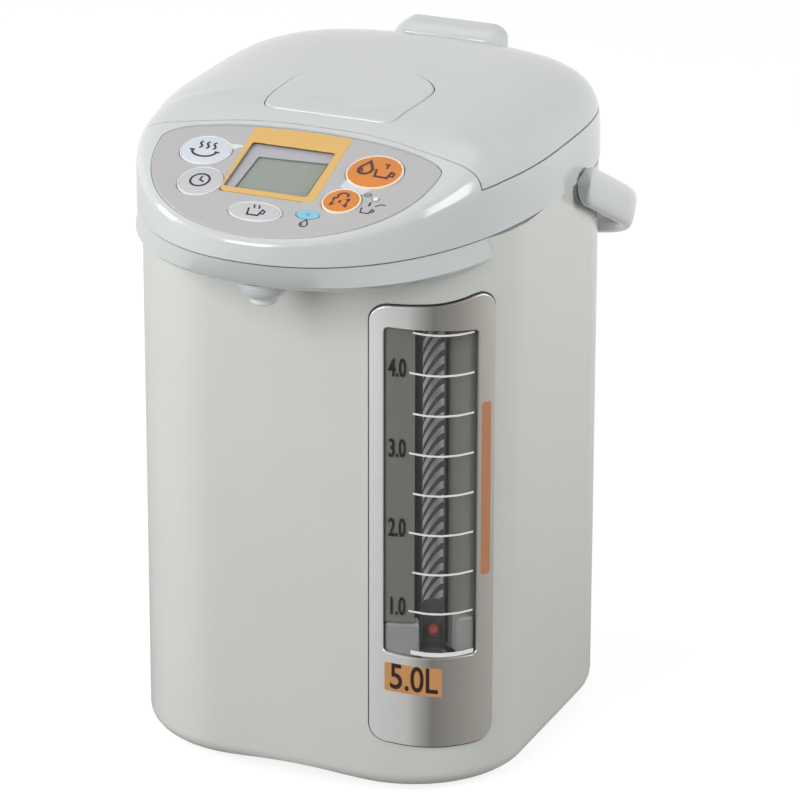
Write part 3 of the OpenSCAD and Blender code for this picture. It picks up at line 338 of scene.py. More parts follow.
def resample(pts, n, closed=True):
    """The same outline with its points evenly spaced."""
    p = np.asarray(list(pts) + ([pts[0]] if closed else []), float)
    d = np.concatenate([[0], np.cumsum(np.linalg.norm(np.diff(p, axis=0), axis=1))])
    t = np.linspace(0, d[-1], n, endpoint=not closed)
    return [(np.interp(k, d, p[:, 0]), np.interp(k, d, p[:, 1])) for k in t]


def inset_by(p, d):
    """An outline moved to its left by d: inwards when it runs anticlockwise."""
    t = np.roll(p, -1, 0) - np.roll(p, 1, 0)
    t = t / np.linalg.norm(t, axis=1)[:, None]
    return p + d * np.stack([-t[:, 1], t[:, 0]], 1)


def place(o, node=None, body=None):
    """Let a piece stand in for a CAD node and ride its body, or just ride a body."""
    if node:
        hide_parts(node)
        body = nodes[node]["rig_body"]
    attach(o, body)
    return o


def ring_faces(first, n, rows):
    """Quads between rings of n points each, the first ring starting at index first."""
    starts = [(first + k * n, i, (i + 1) % n) for k in range(rows - 1) for i in range(n)]
    return [(a + i, a + j, a + n + j, a + n + i) for a, i, j in starts]


def pad(name, outline, top, depth, look, edge=0.6, rings=12, matrix=None, node=None, body=None):
    """A solid cap, depth mm thick, over an anticlockwise outline, with a rounded rim and a top(x, y)."""
    p = np.asarray(outline, float)
    n = len(p)
    rows = []

    def row(q, drop):
        rows.append(np.column_stack([q, top(q[:, 0], q[:, 1]) * np.ones(n) - drop]))

    row(p, depth)
    for a in np.radians(np.linspace(0, 90, 6)):
        row(inset_by(p, edge * (1 - math.cos(a))), edge * (1 - math.sin(a)))
    rim, mid = rows[-1][:, :2], rows[-1][:, :2].mean(0)
    for s in np.linspace(1, 0, rings + 1)[1:-1]:
        row(mid + (rim - mid) * s, 0)
    v = np.concatenate(rows + [[[*mid, float(top(mid[:1], mid[1:])[0])]]])
    f = ring_faces(0, n, len(rows)) + [tuple(range(n - 1, -1, -1))]
    last = (len(rows) - 1) * n
    f += [(last + i, last + (i + 1) % n, len(v) - 1) for i in range(n)]
    if matrix is not None:
        v = np.array([tuple(matrix @ Vector(q)) for q in v])
    return place(obj_from(name, v, f, look, True, 40), node, body)


BEND_STEP = 2.5  # a bent plate is crossed by an edge at each of these steps


def plate(name, outer, holes, z0, z1, look, edge=0.4, matrix=Matrix(), bent=False, node=None, body=None):
    """A flat plate with holes and rounded edges, laid on a matrix or bent round the gauge's corner."""
    loops = [np.asarray(outer, float)] + [np.asarray(h, float)[::-1] for h in holes]
    verts, faces, caps, first = [], [], [[], []], 0
    for p in loops:
        n = len(p)
        rows = [np.column_stack([p, np.full(n, z0)])]
        for a in np.radians(np.linspace(0, 90, 4)):
            z = z1 - edge * (1 - math.sin(a))
            rows.append(np.column_stack([inset_by(p, edge * (1 - math.cos(a))), np.full(n, z)]))
        faces += ring_faces(first, n, len(rows))
        caps[0].append((first, rows[0]))
        caps[1].append((first + (len(rows) - 1) * n, rows[-1]))
        verts += rows
        first += n * len(rows)
    flat = len(faces)
    for cap in caps:
        index = [start + i for start, r in cap for i in range(len(r))]
        tris = tessellate_polygon([[Vector((q[0], q[1], 0)) for q in r] for start, r in cap])
        faces += [tuple(index[i] for i in t) for t in tris]
    v = np.concatenate(verts)
    me = bpy.data.meshes.new(name)
    me.from_pydata([tuple(q) for q in v], [], faces)
    bm = bmesh.new()
    bm.from_mesh(me)
    bm.faces.ensure_lookup_table()
    for e in bm.edges:
        sides = [f.index >= flat for f in e.link_faces]
        e.smooth = not (any(sides) and not all(sides))
    bmesh.ops.recalc_face_normals(bm, faces=bm.faces)
    if bent:
        lo, hi = v[:, 0].min(), v[:, 0].max()
        for x in np.arange(math.ceil(lo / BEND_STEP) * BEND_STEP, hi, BEND_STEP):
            bmesh.ops.bisect_plane(bm, geom=bm.verts[:] + bm.edges[:] + bm.faces[:], plane_co=(x, 0, 0),
                                   plane_no=(1, 0, 0), dist=1e-5)
    for f in bm.faces:
        f.smooth = True
    bm.to_mesh(me)
    bm.free()
    w = np.array([tuple(q.co) for q in me.vertices])
    w = bend(w) if bent else np.array([tuple(matrix @ Vector(q)) for q in w])
    me.vertices.foreach_set("co", (w * MM).ravel())
    me.update()
    o = bpy.data.objects.new(name, me)
    scene.collection.objects.link(o)
    me.materials.append(M[look])
    return place(o, node, body)


MITRE_LIMIT = 0.45  # a sharper corner of a stroke is cut short


def unit_rows(v):
    return v / np.maximum(np.linalg.norm(v, axis=1), 1e-9)[:, None]


def ink(name, strokes, look, matrix, top=lambda x, y: 0.0, thick=0.09, sunk=0.05):
    """A printed mark: strokes of even width, mitred at their corners, laid over a face.

    A stroke is its points, its width and whether it is closed."""
    verts, faces = [], []
    for pts, w, closed in strokes:
        p = np.asarray(pts, float)
        a = np.roll(p, 1, 0) if closed else np.vstack([2 * p[0] - p[1], p[:-1]])
        b = np.roll(p, -1, 0) if closed else np.vstack([p[1:], 2 * p[-1] - p[-2]])
        into = unit_rows(p - a)
        t = unit_rows(into + unit_rows(b - p))
        off = np.stack([-t[:, 1], t[:, 0]], 1) * w / 2 / np.maximum((t * into).sum(1), MITRE_LIMIT)[:, None]
        first, n = len(verts), len(p)
        for q, up in ((p + off, thick), (p - off, thick), (p - off, -sunk), (p + off, -sunk)):
            verts += [(x, y, top(x, y) + up) for x, y in q]
        rails = [first + r * n for r in range(4)]
        sides = list(zip(rails, rails[1:] + rails[:1]))
        for i in range(n if closed else n - 1):
            j = (i + 1) % n
            faces += [(r + i, s + i, s + j, r + j) for r, s in sides]
        if not closed:
            faces += [tuple(rails), tuple(r + n - 1 for r in reversed(rails))]
    return obj_from(name, [tuple(matrix @ Vector(q)) for q in verts], faces, look, False)


def prism(outline, z0, z1, matrix=Matrix()):
    """A cutter: an outline in x and y drawn out from z0 to z1."""
    n = len(outline)
    v = [matrix @ Vector((x, y, z)) for z in (z0, z1) for x, y in outline]
    f = [tuple(range(n - 1, -1, -1)), tuple(range(n, 2 * n))] + ring_faces(0, n, 2)
    return obj_from("cutter", v, f, "cover")


def x_prism(yz, x0, x1):
    """A cutter: an outline in y and z drawn out from x0 to x1."""
    n = len(yz)
    v = [(x, y, z) for x in (x0, x1) for y, z in yz]
    f = [tuple(range(n)), tuple(range(2 * n - 1, n - 1, -1))]
    f += [(i, n + i, n + (i + 1) % n, (i + 1) % n) for i in range(n)]
    return obj_from("cutter", v, f, "cover")


def welded(node):
    """A smooth-shaded copy of a CAD node, in its place and with its look."""
    me = nodes[node].data.copy()
    o = bpy.data.objects.new(node + "_skin", me)
    scene.collection.objects.link(o)
    me.normals_split_custom_set_from_vertices([(0, 0, 0)] * len(me.vertices))
    tidy(o, True, 32, 2e-6)
    return place(o, node)


# ---------------------------------------------------------------- head skin

SEAM, HALF_W, FRONT, BACK = 297.0, 104.5, 155.0, 105.0  # the seam's height and the head's reach there
CROWN, SLOPE, EASE = 344.5, 0.335, 23.0  # the crown's height, the panel's slope, the length of the bend
PANEL_TOP = -62.0  # where the slope starts to bend into the crown
SHELL = 2.4  # wall of the cover and lid
LID_Y, LID_Z, GAP = -66.2, 322.5, 0.4  # the lid's front edge, its lower edge, and half the seam's gap
BOW, BOW_HALF, BOW_POWER = 11.4, 88.0, 3.4  # how far the lid's front edge bows forward at its ends
SEAM_GAP = 0.55  # between the outer case and the cover
LEDGE = CROWN - SLOPE * EASE / 2


def roof(y):
    """Height of the head's ridge: the panel's slope, then an eased bend, then the level crown."""
    t = np.asarray(y, float) - PANEL_TOP
    eased = LEDGE + SLOPE * (t - t * t / (2 * EASE))
    return np.where(t < 0, LEDGE + SLOPE * t, np.where(t < EASE, eased, CROWN))


def superellipse(n, half_w, front, back, p_front, p_back):
    """Plan points round the head; a higher power gives squarer corners."""
    a = np.radians((np.arange(n) + 0.5) * 360 / n)
    c, s = np.cos(a), np.sin(a)
    p = np.where(s < 0, p_front, p_back)
    return (half_w * np.sign(c) * np.abs(c) ** (2 / p),
            np.where(s < 0, front, back) * np.sign(s) * np.abs(s) ** (2 / p))


def head_rings(inset, n, turns, drop=0.0):
    """Rings of the head from its seam up to its ridge; the rise is squarer at the back than at the beak."""
    x, y = superellipse(n, HALF_W - inset, FRONT - inset, BACK - inset, 2.18, 3.6)
    front = np.interp(y, [-FRONT, -95, -60, 0], [16, 11, 5.2, 4.8])
    q = np.where(y < 0, front, 4.8 + 2.6 * (1 - np.abs(x) / HALF_W))
    rings = [np.stack([x, y, np.full(n, SEAM - drop)], 1)] if drop else []
    for t in turns:
        k = math.cos(math.radians(t)) ** (2 / q)
        z = SEAM + (roof(k * y) - SEAM - inset) * math.sin(math.radians(t)) ** (2 / q)
        rings.append(np.stack([k * x, k * y, z], 1))
    return rings


def ridged(rings):
    """The rings as one closed surface: a flat bottom, and the last ring zipped shut along the ridge."""
    n, m = len(rings[0]), len(rings)
    f = ring_faces(0, n, m) + [tuple(range(n - 1, -1, -1))]
    top, front = (m - 1) * n, n * 3 // 4
    for k in range(n // 2 - 1):
        i = (k + front) % n
        j = (i + 1) % n
        f.append((top + i, top + j, top + (2 * front - 1 - j) % n, top + (2 * front - 1 - i) % n))
    return np.concatenate(rings), f


# degrees from the seam to the ridge, closer together where the surface turns over
TURNS = [*range(0, 73, 4), 75, 78, 80.5, 83, 85, 86.5, 87.8, 88.7, 89.3, 89.7, 89.9]
COARSE = [0, 10, 20, 30, 42, 55, 68, 80, 87]


def head_obj(inset, drop=0.0, n=240, turns=TURNS):
    return obj_from("head", *ridged(head_rings(inset, n, turns, drop)), "cover")


ref = head_obj(0)
ref_tree = KDTree(len(ref.data.vertices))
for i, v in enumerate(ref.data.vertices):
    ref_tree.insert(v.co, i)
ref_tree.balance()
ref_normals = [v.normal.copy() for v in ref.data.vertices]
bpy.data.objects.remove(ref)


SKIN_AGREES = 0.9  # cosine between a face and the uncut skin, above which the face lies on that skin


def skin_normals(o):
    """Smooth normals of the uncut head on every face that lies on its skin; flat ones elsewhere."""
    me = o.data
    out = [None] * len(me.loops)
    for f in me.polygons:
        f.use_smooth = True
        for li in f.loop_indices:
            hits = ref_tree.find_n(me.vertices[me.loops[li].vertex_index].co, 3)
            n = sum((ref_normals[h[1]] / (h[2] + 1e-6) for h in hits), Vector()).normalized()
            out[li] = n if n.dot(f.normal) > SKIN_AGREES else f.normal.copy()
    me.normals_split_custom_set(out)


def behind_edge(shift, z0, z1):
    """The block that lies behind the lid's bowed front edge."""
    xs = np.linspace(-BOW_HALF, BOW_HALF, 81)
    pts = [(-150, 200), (-150, LID_Y - BOW + shift)]
    pts += [(x, LID_Y - BOW * math.sin(math.pi / 2 * abs(x) / BOW_HALF) ** BOW_POWER + shift) for x in xs]
    return prism(pts + [(150, LID_Y - BOW + shift), (150, 200)], z0, z1)


TILT = math.atan(SLOPE)
SLANT = math.cos(TILT)
PANEL_Y = -88  # the panel's widest line, which is the origin of its own plane
LENS_HALF_W, LENS_FRONT, LENS_REAR = 75, 63.5, 18.6  # the panel's outline in plan, from that line
PANEL_SUNK = 0.8
PANEL = Matrix.Translation((0, PANEL_Y, float(roof(PANEL_Y)) - PANEL_SUNK)) @ Matrix.Rotation(TILT, 4, "X")


def slope_y(y):
    """A plan y of the pot in the panel's own plane."""
    return (y - PANEL_Y) / SLANT


def spot(p):
    """A plan place of the pot as a matrix on the panel's face."""
    return PANEL @ Matrix.Translation((p[0], slope_y(p[1]), 0))


def lens(grow, n=240):
    """The control panel's outline, in its own plane."""
    front, rear = LENS_FRONT / SLANT + grow, LENS_REAR / SLANT + grow
    return [((LENS_HALF_W + grow) * math.cos(a), (rear if a < math.pi else front) * math.sin(a))
            for a in np.linspace(0, 2 * math.pi, n, endpoint=False)]


# right half of the press plate: a straight front, slightly bellied sides and a rounded back
PLATE_EDGE = [(0, -56), (27, -56), (33.4, -54.6), (35.6, -50), (36.6, -40), (37.2, -26), (37.2, -14),
              (35.8, -4.5), (32.4, 2.2), (26.5, 9.2), (19, 15), (10, 19), (0, 20.3)]


def lever_outline(grow):
    """The press plate's outline: a spline through its half and the half's mirror image."""
    pts = [Vector((x, y, 0)) for x, y in PLATE_EDGE + [(-x, y) for x, y in reversed(PLATE_EDGE[1:-1])]]
    out, k = [], len(pts)
    for i in range(k):
        a, b, c, d = (pts[(i + o) % k] for o in (-1, 0, 1, 2))
        if i in (0, k - 1):
            out += [b.lerp(c, s / 6) for s in range(6)]
            continue
        for s in np.linspace(0, 1, 7)[:-1]:
            out.append(0.5 * (2 * b + (c - a) * s + (2 * a - 5 * b + 4 * c - d) * s * s
                              + (3 * b - a - 3 * c + d) * s ** 3))
    return [tuple(q) for q in inset_by(np.array([(v.x, v.y) for v in out]), -grow)]


# what the head's skin is cut for; each cutter reaches well past the skin
FAR = 200
BLOCK_HALF_W, BLOCK_FRONT, BLOCK_BACK, BLOCK_R = 30, 92.9, 111, 3.5  # hinge block in plan, corner radius
HINGE_Y, HINGE_Z = 101, 325.5
PIVOT_Y, PIVOT_Z = 27.5, 293.5  # the handle's pivot
VENT = (-14.5, 83.5)

cover = head_obj(0)
cover.name = "head_cover"
cut(cover, head_obj(SHELL, 1, 96, COARSE), behind_edge(-GAP, LID_Z - GAP, 420),
    box_obj((-BLOCK_HALF_W - 1, 100, 314.5), (BLOCK_HALF_W + 1, 170, 400)),
    x_prism(disc(HINGE_Y, HINGE_Z, 7.5), -80, 80), x_prism(disc(PIVOT_Y, PIVOT_Z, 9.3), -130, 130),
    prism(lens(0.35), -2.2, 30, PANEL), box_obj((-FAR, -FAR, FAR), (FAR, FAR, SEAM + SEAM_GAP)))
tidy(cover, True, 40)
skin_normals(cover)
place(cover, "top_cover")

lid = head_obj(0)
lid.name = "lid_cover"
cut(lid, behind_edge(GAP, LID_Z + GAP, 420), op="INTERSECT")
cut(lid, head_obj(SHELL, 1, 96, COARSE), prism(lever_outline(0.5), 331, 400),
    box_obj((-BLOCK_HALF_W - 0.7, 92.6, 280), (BLOCK_HALF_W + 0.7, FAR, 400)),
    prism(disc(*VENT, 1.3, 24), 325, 400))
tidy(lid, True, 40)
skin_normals(lid)
place(lid, "lid_shell")


def block_top(x, y):
    """Top of the hinge block: level, falling to the lid in front and toward its two ends."""
    return (345.6 - 4.2 * np.clip((103 - y) / 10, 0, 1) ** 1.6
            - 5 * np.clip((np.abs(x) - 21) / 9, 0, 1) ** 2)


block = resample(rounded(-BLOCK_HALF_W, BLOCK_HALF_W, BLOCK_FRONT, BLOCK_BACK, BLOCK_R), 220)
pad("hinge_block_skin", block, block_top, 17, "cover", edge=1.2, rings=16, node="hinge_block")

# the press plate's long shallow finger hollow: a ring of round section that dips into the plate
DIP_Y, DIP_R, DIP_RING, DIP = -40, 15.0, 120.0, 1.3
PLATE_PROUD = 0.5


def plate_top(x, y):
    v = np.minimum(np.abs(y - DIP_Y), DIP_R)
    reach = DIP_RING + np.sqrt(DIP_R ** 2 - v ** 2)
    low = DIP_RING + DIP_R - DIP - np.sqrt(np.maximum(reach ** 2 - x ** 2, 0))
    return roof(y) + PLATE_PROUD + np.minimum(low, 0) * (np.abs(y - DIP_Y) < DIP_R)


pad("press_plate", resample(lever_outline(0), 260), plate_top, 2.2, "cover", edge=0.9, rings=34,
    node="lid_lever")

# ---------------------------------------------------------------- control panel

# each key: its place in plan, its half width and half depth, and how proud of the panel it stands
KEYS = {
    "boil_button": ((-48, -94), (13.5, 11.5), 0.5),
    "timer_button": ((-40.2, -117.2), (11.5, 11.5), 0.5),
    "keep_warm_button": ((-3, -133.5), (14, 7.5), 0.5),
    "dispense_button": ((42.5, -93), (14.5, 13.5), 0.7),
    "unlock_button": ((35.5, -117.2), (9.8, 9.8), 0.7),
}
LAMP, LAMP_SIZE = (23.4, -130), (6, 3.4)
LEDS, LED_R = ((46.2, -109.5), (51.2, -111.8)), 1.55


def moved(outline, p):
    return [(x + p[0], y + slope_y(p[1])) for x, y in outline]


def on_slope(points):
    return [(x, slope_y(y)) for x, y in points]


def panel_print(name, outline, look, z0=-0.02, z1=0.08, edge=0.03, holes=()):
    """A thin flat piece that lies on the panel or under its glass, in the panel's plane."""
    plate(name, outline, holes, z0, z1, look, edge=edge, matrix=PANEL, body="base")


holes = [moved(oval(s[0] + 0.3, s[1] + 0.3), p) for p, s, z in KEYS.values()]
holes.append(moved(oval(LAMP_SIZE[0] + 0.3, LAMP_SIZE[1] + 0.3), LAMP))
holes += [moved(oval(LED_R + 0.35, LED_R + 0.35), p) for p in LEDS]
holes.append(moved(rounded(-22.2, 23.4, -22.2, 22.2, 1.2), (-6, -100.5)))
plate("panel_face", lens(0), holes, -2, 0, "panel", edge=0.45, matrix=PANEL, node="control_panel")

# printed border round the display, its upper band running out to the panel's edge
BORDER_R, BORDER_Y = 3.6, -121.4
rear = LENS_REAR / SLANT
border = arc_pts(-25, slope_y(BORDER_Y) + BORDER_R, BORDER_R, 180, 270, 8)
border += arc_pts(18.6, slope_y(BORDER_Y) + BORDER_R, BORDER_R, 270, 358, 8)
border += [(x, rear * math.sqrt(1 - (x / LENS_HALF_W) ** 2) - 0.8) for x in np.linspace(21.2, -31.6, 30)]
pane = rounded(-27.6, 17.2, slope_y(-117.9), slope_y(-82.8), 1.6)
panel_print("display_border", border, "lcd_frame", -0.25, 0.12, 0.1, [pane])
label = [(-27.9, -118.5), (-22.6, -118.5), (-21, -91.2), (17.5, -89.4), (17.5, -82), (-27.9, -82)]
panel_print("display_label", on_slope(label), "label", -1.9, -1.6, 0.05)
face = [(-24, -120), (17.4, -120), (17.4, -87), (-24, -87)]
panel_print("display_face", on_slope(face), "lcd", -3.2, -2.8, 0.05)

# pale links from the display to the boil key and between the two orange keys
left_link = [(-39, -86.6), (-38, -92.5), (-31.2, -87.6), (-31.2, -86.6)]
right_link = [(29.8, -106.6), (42.8, -110.6), (47, -104.5), (31.5, -98.2)]
panel_print("panel_links_left", on_slope(left_link), "rim")
panel_print("panel_links_right", on_slope(right_link), "key_link")

CAP_LOOK = {"boil_button": "key_ice", "timer_button": "key_pale", "keep_warm_button": "key_pale",
            "dispense_button": "orange", "unlock_button": "orange"}
domes = {}
for node, (p, s, proud) in KEYS.items():
    m, look = spot(p), CAP_LOOK[node]
    rim_look, rim_w, rise = ("cream", 1.1, 0.75) if look == "orange" else ("rim", 0.8, 0.4)
    a, b = s[0] - rim_w, s[1] - rim_w

    def dome(x, y, a=a, b=b, rise=rise, proud=proud):
        return proud + rise * (1 - (x / a) ** 2 - (y / b) ** 2)

    domes[node] = dome
    plate(node + "_rim", oval(*s), [oval(a + 0.05, b + 0.05)], -2.3, proud, rim_look, edge=0.35,
          matrix=m, node=node)
    pad(node + "_cap", oval(a, b), dome, 2.6, look, edge=0.25, rings=10, matrix=m,
        body=nodes[node]["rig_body"])

# pictograms, as strokes in mm: the points, the width, and whether the stroke is closed
t = np.linspace(0, 1, 17)


def wave(x, sway, foot, height):
    """The points of a wisp of steam."""
    return [(x + sway * math.sin(2 * math.pi * k), foot + height * k) for k in t]


steam = [(wave(x, 0.75, 0.2, 5), 0.75, False) for x in (-3.2, 0, 3.2)]
half_turn = np.radians(np.linspace(180, 360, 17))
bowl = [([(5.6 * math.cos(a), -1.4 + 3.8 * math.sin(a)) for a in half_turn], 0.8, False),
        ([(-7, -1.3), (7, -1.3)], 0.8, False)]
clock = [(disc(0, 0, 4.4, 32), 0.8, True), ([(0, 2.9), (0, 0), (2.2, -1.1)], 0.7, False)]
cup = [([(-3.6, 2), (-2.7, -2.8), (2.7, -2.8), (3.6, 2)], 0.75, False),
       ([(3.3, 1), (5, 0.9), (4.9, -1.2), (3, -1.5)], 0.6, False)]
warm = cup + [(wave(x, 0.4, 2.2, 2.6), 0.6, False) for x in (-1.5, 1)]
drop = [([(0, 5.4)] + arc_pts(0, -0.6, 3.1, 35, -215, 26), 0.9, True),
        ([(-0.5, -2.2), (-1.7, -1.2), (-1.9, 0.2)], 0.6, False)]
shackle = [(-2, 0.6), (-2, 2.6)] + [(x, 2.6 + 0.9 * y) for x, y in arc_pts(0, 0, 2, 180, 0, 12)] + [(2, 1.9)]
lock = [([(-3.2, -3.8), (3.2, -3.8), (3.2, 0.6), (-3.2, 0.6)], 0.9, True),
        ([(0, -2.4), (0, -0.8)], 0.9, False), (shackle, 0.8, False)]


def scaled(strokes, k, dx=0, dy=0):
    """Strokes made k times as large, and a quarter bolder."""
    return [([(x * k + dx, y * k + dy) for x, y in pts], w * k * 1.25, c) for pts, w, c in strokes]


nozzle = [([(3, 5), (4.6, 5.4), (4.6, 2.4)], 0.7, False)]
pour = scaled(drop, 1.0, -4.2, 0.6) + scaled(cup, 1.0, 4.2, -1) + nozzle
key_marks = {"boil_button": (scaled(steam + bowl, 1.15), "ink"), "timer_button": (scaled(clock, 1.1), "ink"),
             "keep_warm_button": (scaled(warm, 1.05, 0, -0.6), "ink"),
             "dispense_button": (scaled(pour, 1.15), "dark_ink"),
             "unlock_button": (scaled(lock, 1.2), "dark_ink")}
for node, (strokes, color) in key_marks.items():
    mark = ink(node + "_mark", strokes, color, spot(KEYS[node][0]), domes[node])
    place(mark, body=nodes[node]["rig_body"])
place(ink("refill_mark", scaled(drop, 0.62), "ink", spot((24.3, -137))), body="base")
spout = [([(0, 6.4), (0, 3.4)], 0.8, False)]
arrow = [([(3.4, 3.6), (5.4, 5.8), (8, 5.6)], 0.6, False)]
place(ink("cup_mark", scaled(cup, 0.8) + scaled(spout, 1) + arrow, "ink", spot((50, -121))), body="base")

pad("refill_lamp_face", oval(*LAMP_SIZE), lambda x, y: 0.05 + 0 * x, 0.5, "blue", edge=0.1,
    matrix=spot(LAMP), body="base")
pad("refill_lamp_dot", oval(1.1, 1.1, 24), lambda x, y: 0.16 + 0 * x, 0.3, "blue_dark", edge=0.08,
    matrix=spot(LAMP), body="base")
for i, p in enumerate(LEDS):
    pad("mode_lamp_%d" % i, oval(LED_R, LED_R, 32), lambda x, y: 0.35 - 0.1 * (x * x + y * y), 0.8,
        ("lamp_grey", "rim")[i], edge=0.15, rings=4, matrix=spot(p), body="base")

# ---------------------------------------------------------------- level gauge

G_X, G_Y, G_R = 42.0, -41.0, 62.2  # axis and radius of the case's corner that the gauge wraps
G_MID = math.radians(-57.2)  # bearing of the gauge's middle from that axis
LITRE, TOP_MARK_Z = 42.6, 251.3  # height of one litre, and the topmost printed mark


def bend(v):
    """Flat gauge coordinates (across, up, proud) to the pot's rounded corner."""
    a = G_MID + np.arcsin(v[:, 0] / G_R)
    r = G_R + v[:, 2]
    return np.stack([G_X + r * np.cos(a), G_Y + r * np.sin(a), v[:, 1]], 1)


def bent_piece(name, outline, z0, z1, look, edge, holes=()):
    """A piece of the gauge that replaces no CAD node, from z0 to z1 proud of the case's corner."""
    plate(name, outline, holes, z0, z1, look, edge=edge, bent=True, body="base")


def curve(y_at, x0, x1, n=24):
    return [(x, y_at(x)) for x in np.linspace(x0, x1, n)]


def frame_low(x, out=0.0):
    return 27.2 + 0.0025 * min(x - 12, 0) ** 2 - out


def frame_high(x, out=0.0):
    return 265.2 + 0.0058 * max(x + 4, 0) ** 2 + out


def window_low(x, out=0.0):
    return 76.2 + 0.0042 * min(x - 6, 0) ** 2 - out


def window_high(x, out=0.0):
    return 252.2 - 0.08 * x + out


def gauge_shape(x0, x1, low, high, r, out=0.0):
    """An outline between two upright sides and two curves, with rounded corners; out widens the curves."""
    def foot(x):
        return low(x, out)

    def head(x):
        return high(x, out)

    pts = arc_pts(x0 + r, foot(x0 + r) + r, r, 180, 262, 8) + curve(foot, x0 + r, x1 - r)[1:-1]
    pts += arc_pts(x1 - r, foot(x1 - r) + r, r, 272, 360, 8) + arc_pts(x1 - r, head(x1 - r) - r, r, 0, 80, 8)
    return pts + curve(head, x1 - r, x0 + r)[1:-1] + arc_pts(x0 + r, head(x0 + r) - r, r, 92, 180, 8)


frame_rim = gauge_shape(-32.2, 30.8, frame_low, frame_high, 9)
frame_hole = gauge_shape(-25.6, 21.6, window_low, window_high, 2.5)
plate("gauge_frame_skin", frame_rim, [frame_hole], -0.95, 0.5, "silver", edge=0.55, bent=True,
      node="gauge_frame")
# painted shade: a thin dark ring just proud of the case round the frame stands for the shadow in the gap
# between frame and case
gap_shade_rim = gauge_shape(-33.0, 31.5, frame_low, frame_high, 9.5, 0.8)
gap_shade_hole = gauge_shape(-29.5, 29.5, frame_low, frame_high, 8, -1.5)
bent_piece("gauge_gap_shade", gap_shade_rim, -1.3, -0.75, "black", 0.1, [gap_shade_hole])
window_rim = gauge_shape(-26.4, 22.4, window_low, window_high, 2.5, 0.8)
plate("gauge_window_skin", window_rim, [], -1.5, -1.05, "clear", edge=0.05, bent=True, node="gauge_window")
bent_piece("gauge_plate", rounded(-27.4, -10.6, 95.8, 254.5, 0.5), -2.6, -1.7, "gauge_plate", 0.2)

# channel behind the window, stepping down past the tube and sloping out again on the right
section = [(-11.2, -2.2), (-10.7, -14), (-8.6, -20.4), (9.8, -20.4), (12.4, -14), (16, -6.5), (19, -3.4),
           (26.5, -2.4)]
section = resample(section, 60, closed=False)
WALL, CHANNEL_Z = 0.9, (75.6, 254.6)
rows = [[(x, z, w - off) for x, w in section] for off in (0, WALL) for z in CHANNEL_Z]
n = len(section)
faces = [(i, i + 1, n + i + 1, n + i) for i in range(n - 1)]
faces += [(2 * n + i, 3 * n + i, 3 * n + i + 1, 2 * n + i + 1) for i in range(n - 1)]
faces += [(i, 2 * n + i, 2 * n + i + 1, i + 1) for i in range(n - 1)]
faces += [(n + i, n + i + 1, 3 * n + i + 1, 3 * n + i) for i in range(n - 1)]
faces += [(0, n, 3 * n, 2 * n), (n - 1, 3 * n - 1, 4 * n - 1, 2 * n - 1)]
channel = obj_from("gauge_channel", bend(np.array([v for row in rows for v in row])), faces, "backing",
                   angle=50)
place(channel, "gauge_backing")
for name, x0, x1, z1 in (("gauge_post_left", -26.4, -7.9, 95.2), ("gauge_post_right", 12.4, 22.6, 96.4)):
    bent_piece(name, rounded(x0, x1, 75.8, z1, 2.2), -9.5, -2.0, "holder", 1.8)

# printed litre marks, numerals, refill line and the two orange badges


def sag(x):
    """How far a printed line hangs below level, the same as the window's lower edge."""
    return np.interp(x, [-25, -13.5, -5, 3, 12, 20], [1.6, 0.4, -1.3, -2.2, -2.4, -2.0])


def mark_line(x0, x1, z, w):
    xs = np.linspace(x0, x1, 15)
    return [(x, z + sag(x) - w) for x in xs] + [(x, z + sag(x) + w) for x in xs[::-1]]


marks = [mark_line(-13.4 if k % 2 else -11.6, 20.0, TOP_MARK_Z - LITRE / 2 * k, 0.52) for k in range(8)]
marks.append(mark_line(-12.4, 20.6, 79.8, 1.15))
for k, outline in enumerate(marks):
    bent_piece("litre_mark_%d" % k, outline, -1.06, -0.96, "tick", 0.03)


def number(name, text, x, z, size, wide, look, proud, slant=0.0):
    """Printed figures on the gauge, centred on x, z; wide narrows them and slant tilts their line."""
    cu = bpy.data.curves.new(name, "FONT")
    cu.body = text
    cu.size = size
    cu.extrude = 0.05
    cu.offset = size * 0.012
    cu.resolution_u = 6
    cu.align_x = cu.align_y = "CENTER"
    o = bpy.data.objects.new(name, cu)
    scene.collection.objects.link(o)
    me = bpy.data.meshes.new_from_object(o.evaluated_get(bpy.context.evaluated_depsgraph_get()))
    bpy.data.objects.remove(o)
    v = np.array([tuple(q.co) for q in me.vertices])
    v = np.stack([v[:, 0] * wide + x, v[:, 1] + z + v[:, 0] * wide * slant, v[:, 2] + proud], 1)
    o = obj_from(name, bend(v), [tuple(p.vertices) for p in me.polygons], look, False)
    return place(o, body="base")


for k, text in enumerate(("4.0", "3.0", "2.0", "1.0")):
    number("litre_number_" + text[0], text, -19.4, 232.2 - LITRE * k, 13.6, 0.52, "print_black", -1.0)
badge = [(x, z + 2.2 - 0.15 * (x + 24.8)) for x, z in rounded(-24.8, 3.4, 57, 72.6, 0.8)]
bent_piece("capacity_badge", badge, 0.48, 0.58, "badge", 0.03)
number("capacity_number", "5.0L", -10.7, 64.9, 19.5, 0.72, "print_dark", 0.64, -0.15)
bent_piece("side_badge", rounded(23.4, 28.4, 118.8, 211.6, 1.6), 0.48, 0.58, "badge_dull", 0.03)

# the tube stands on the bearing T_A from the corner's axis, with its strip behind it
TUBE_R, TUBE_SEAT, T_A = 5.2, 49, math.radians(-56)
T_X, T_Y = G_X + TUBE_SEAT * math.cos(T_A), G_Y + TUBE_SEAT * math.sin(T_A)

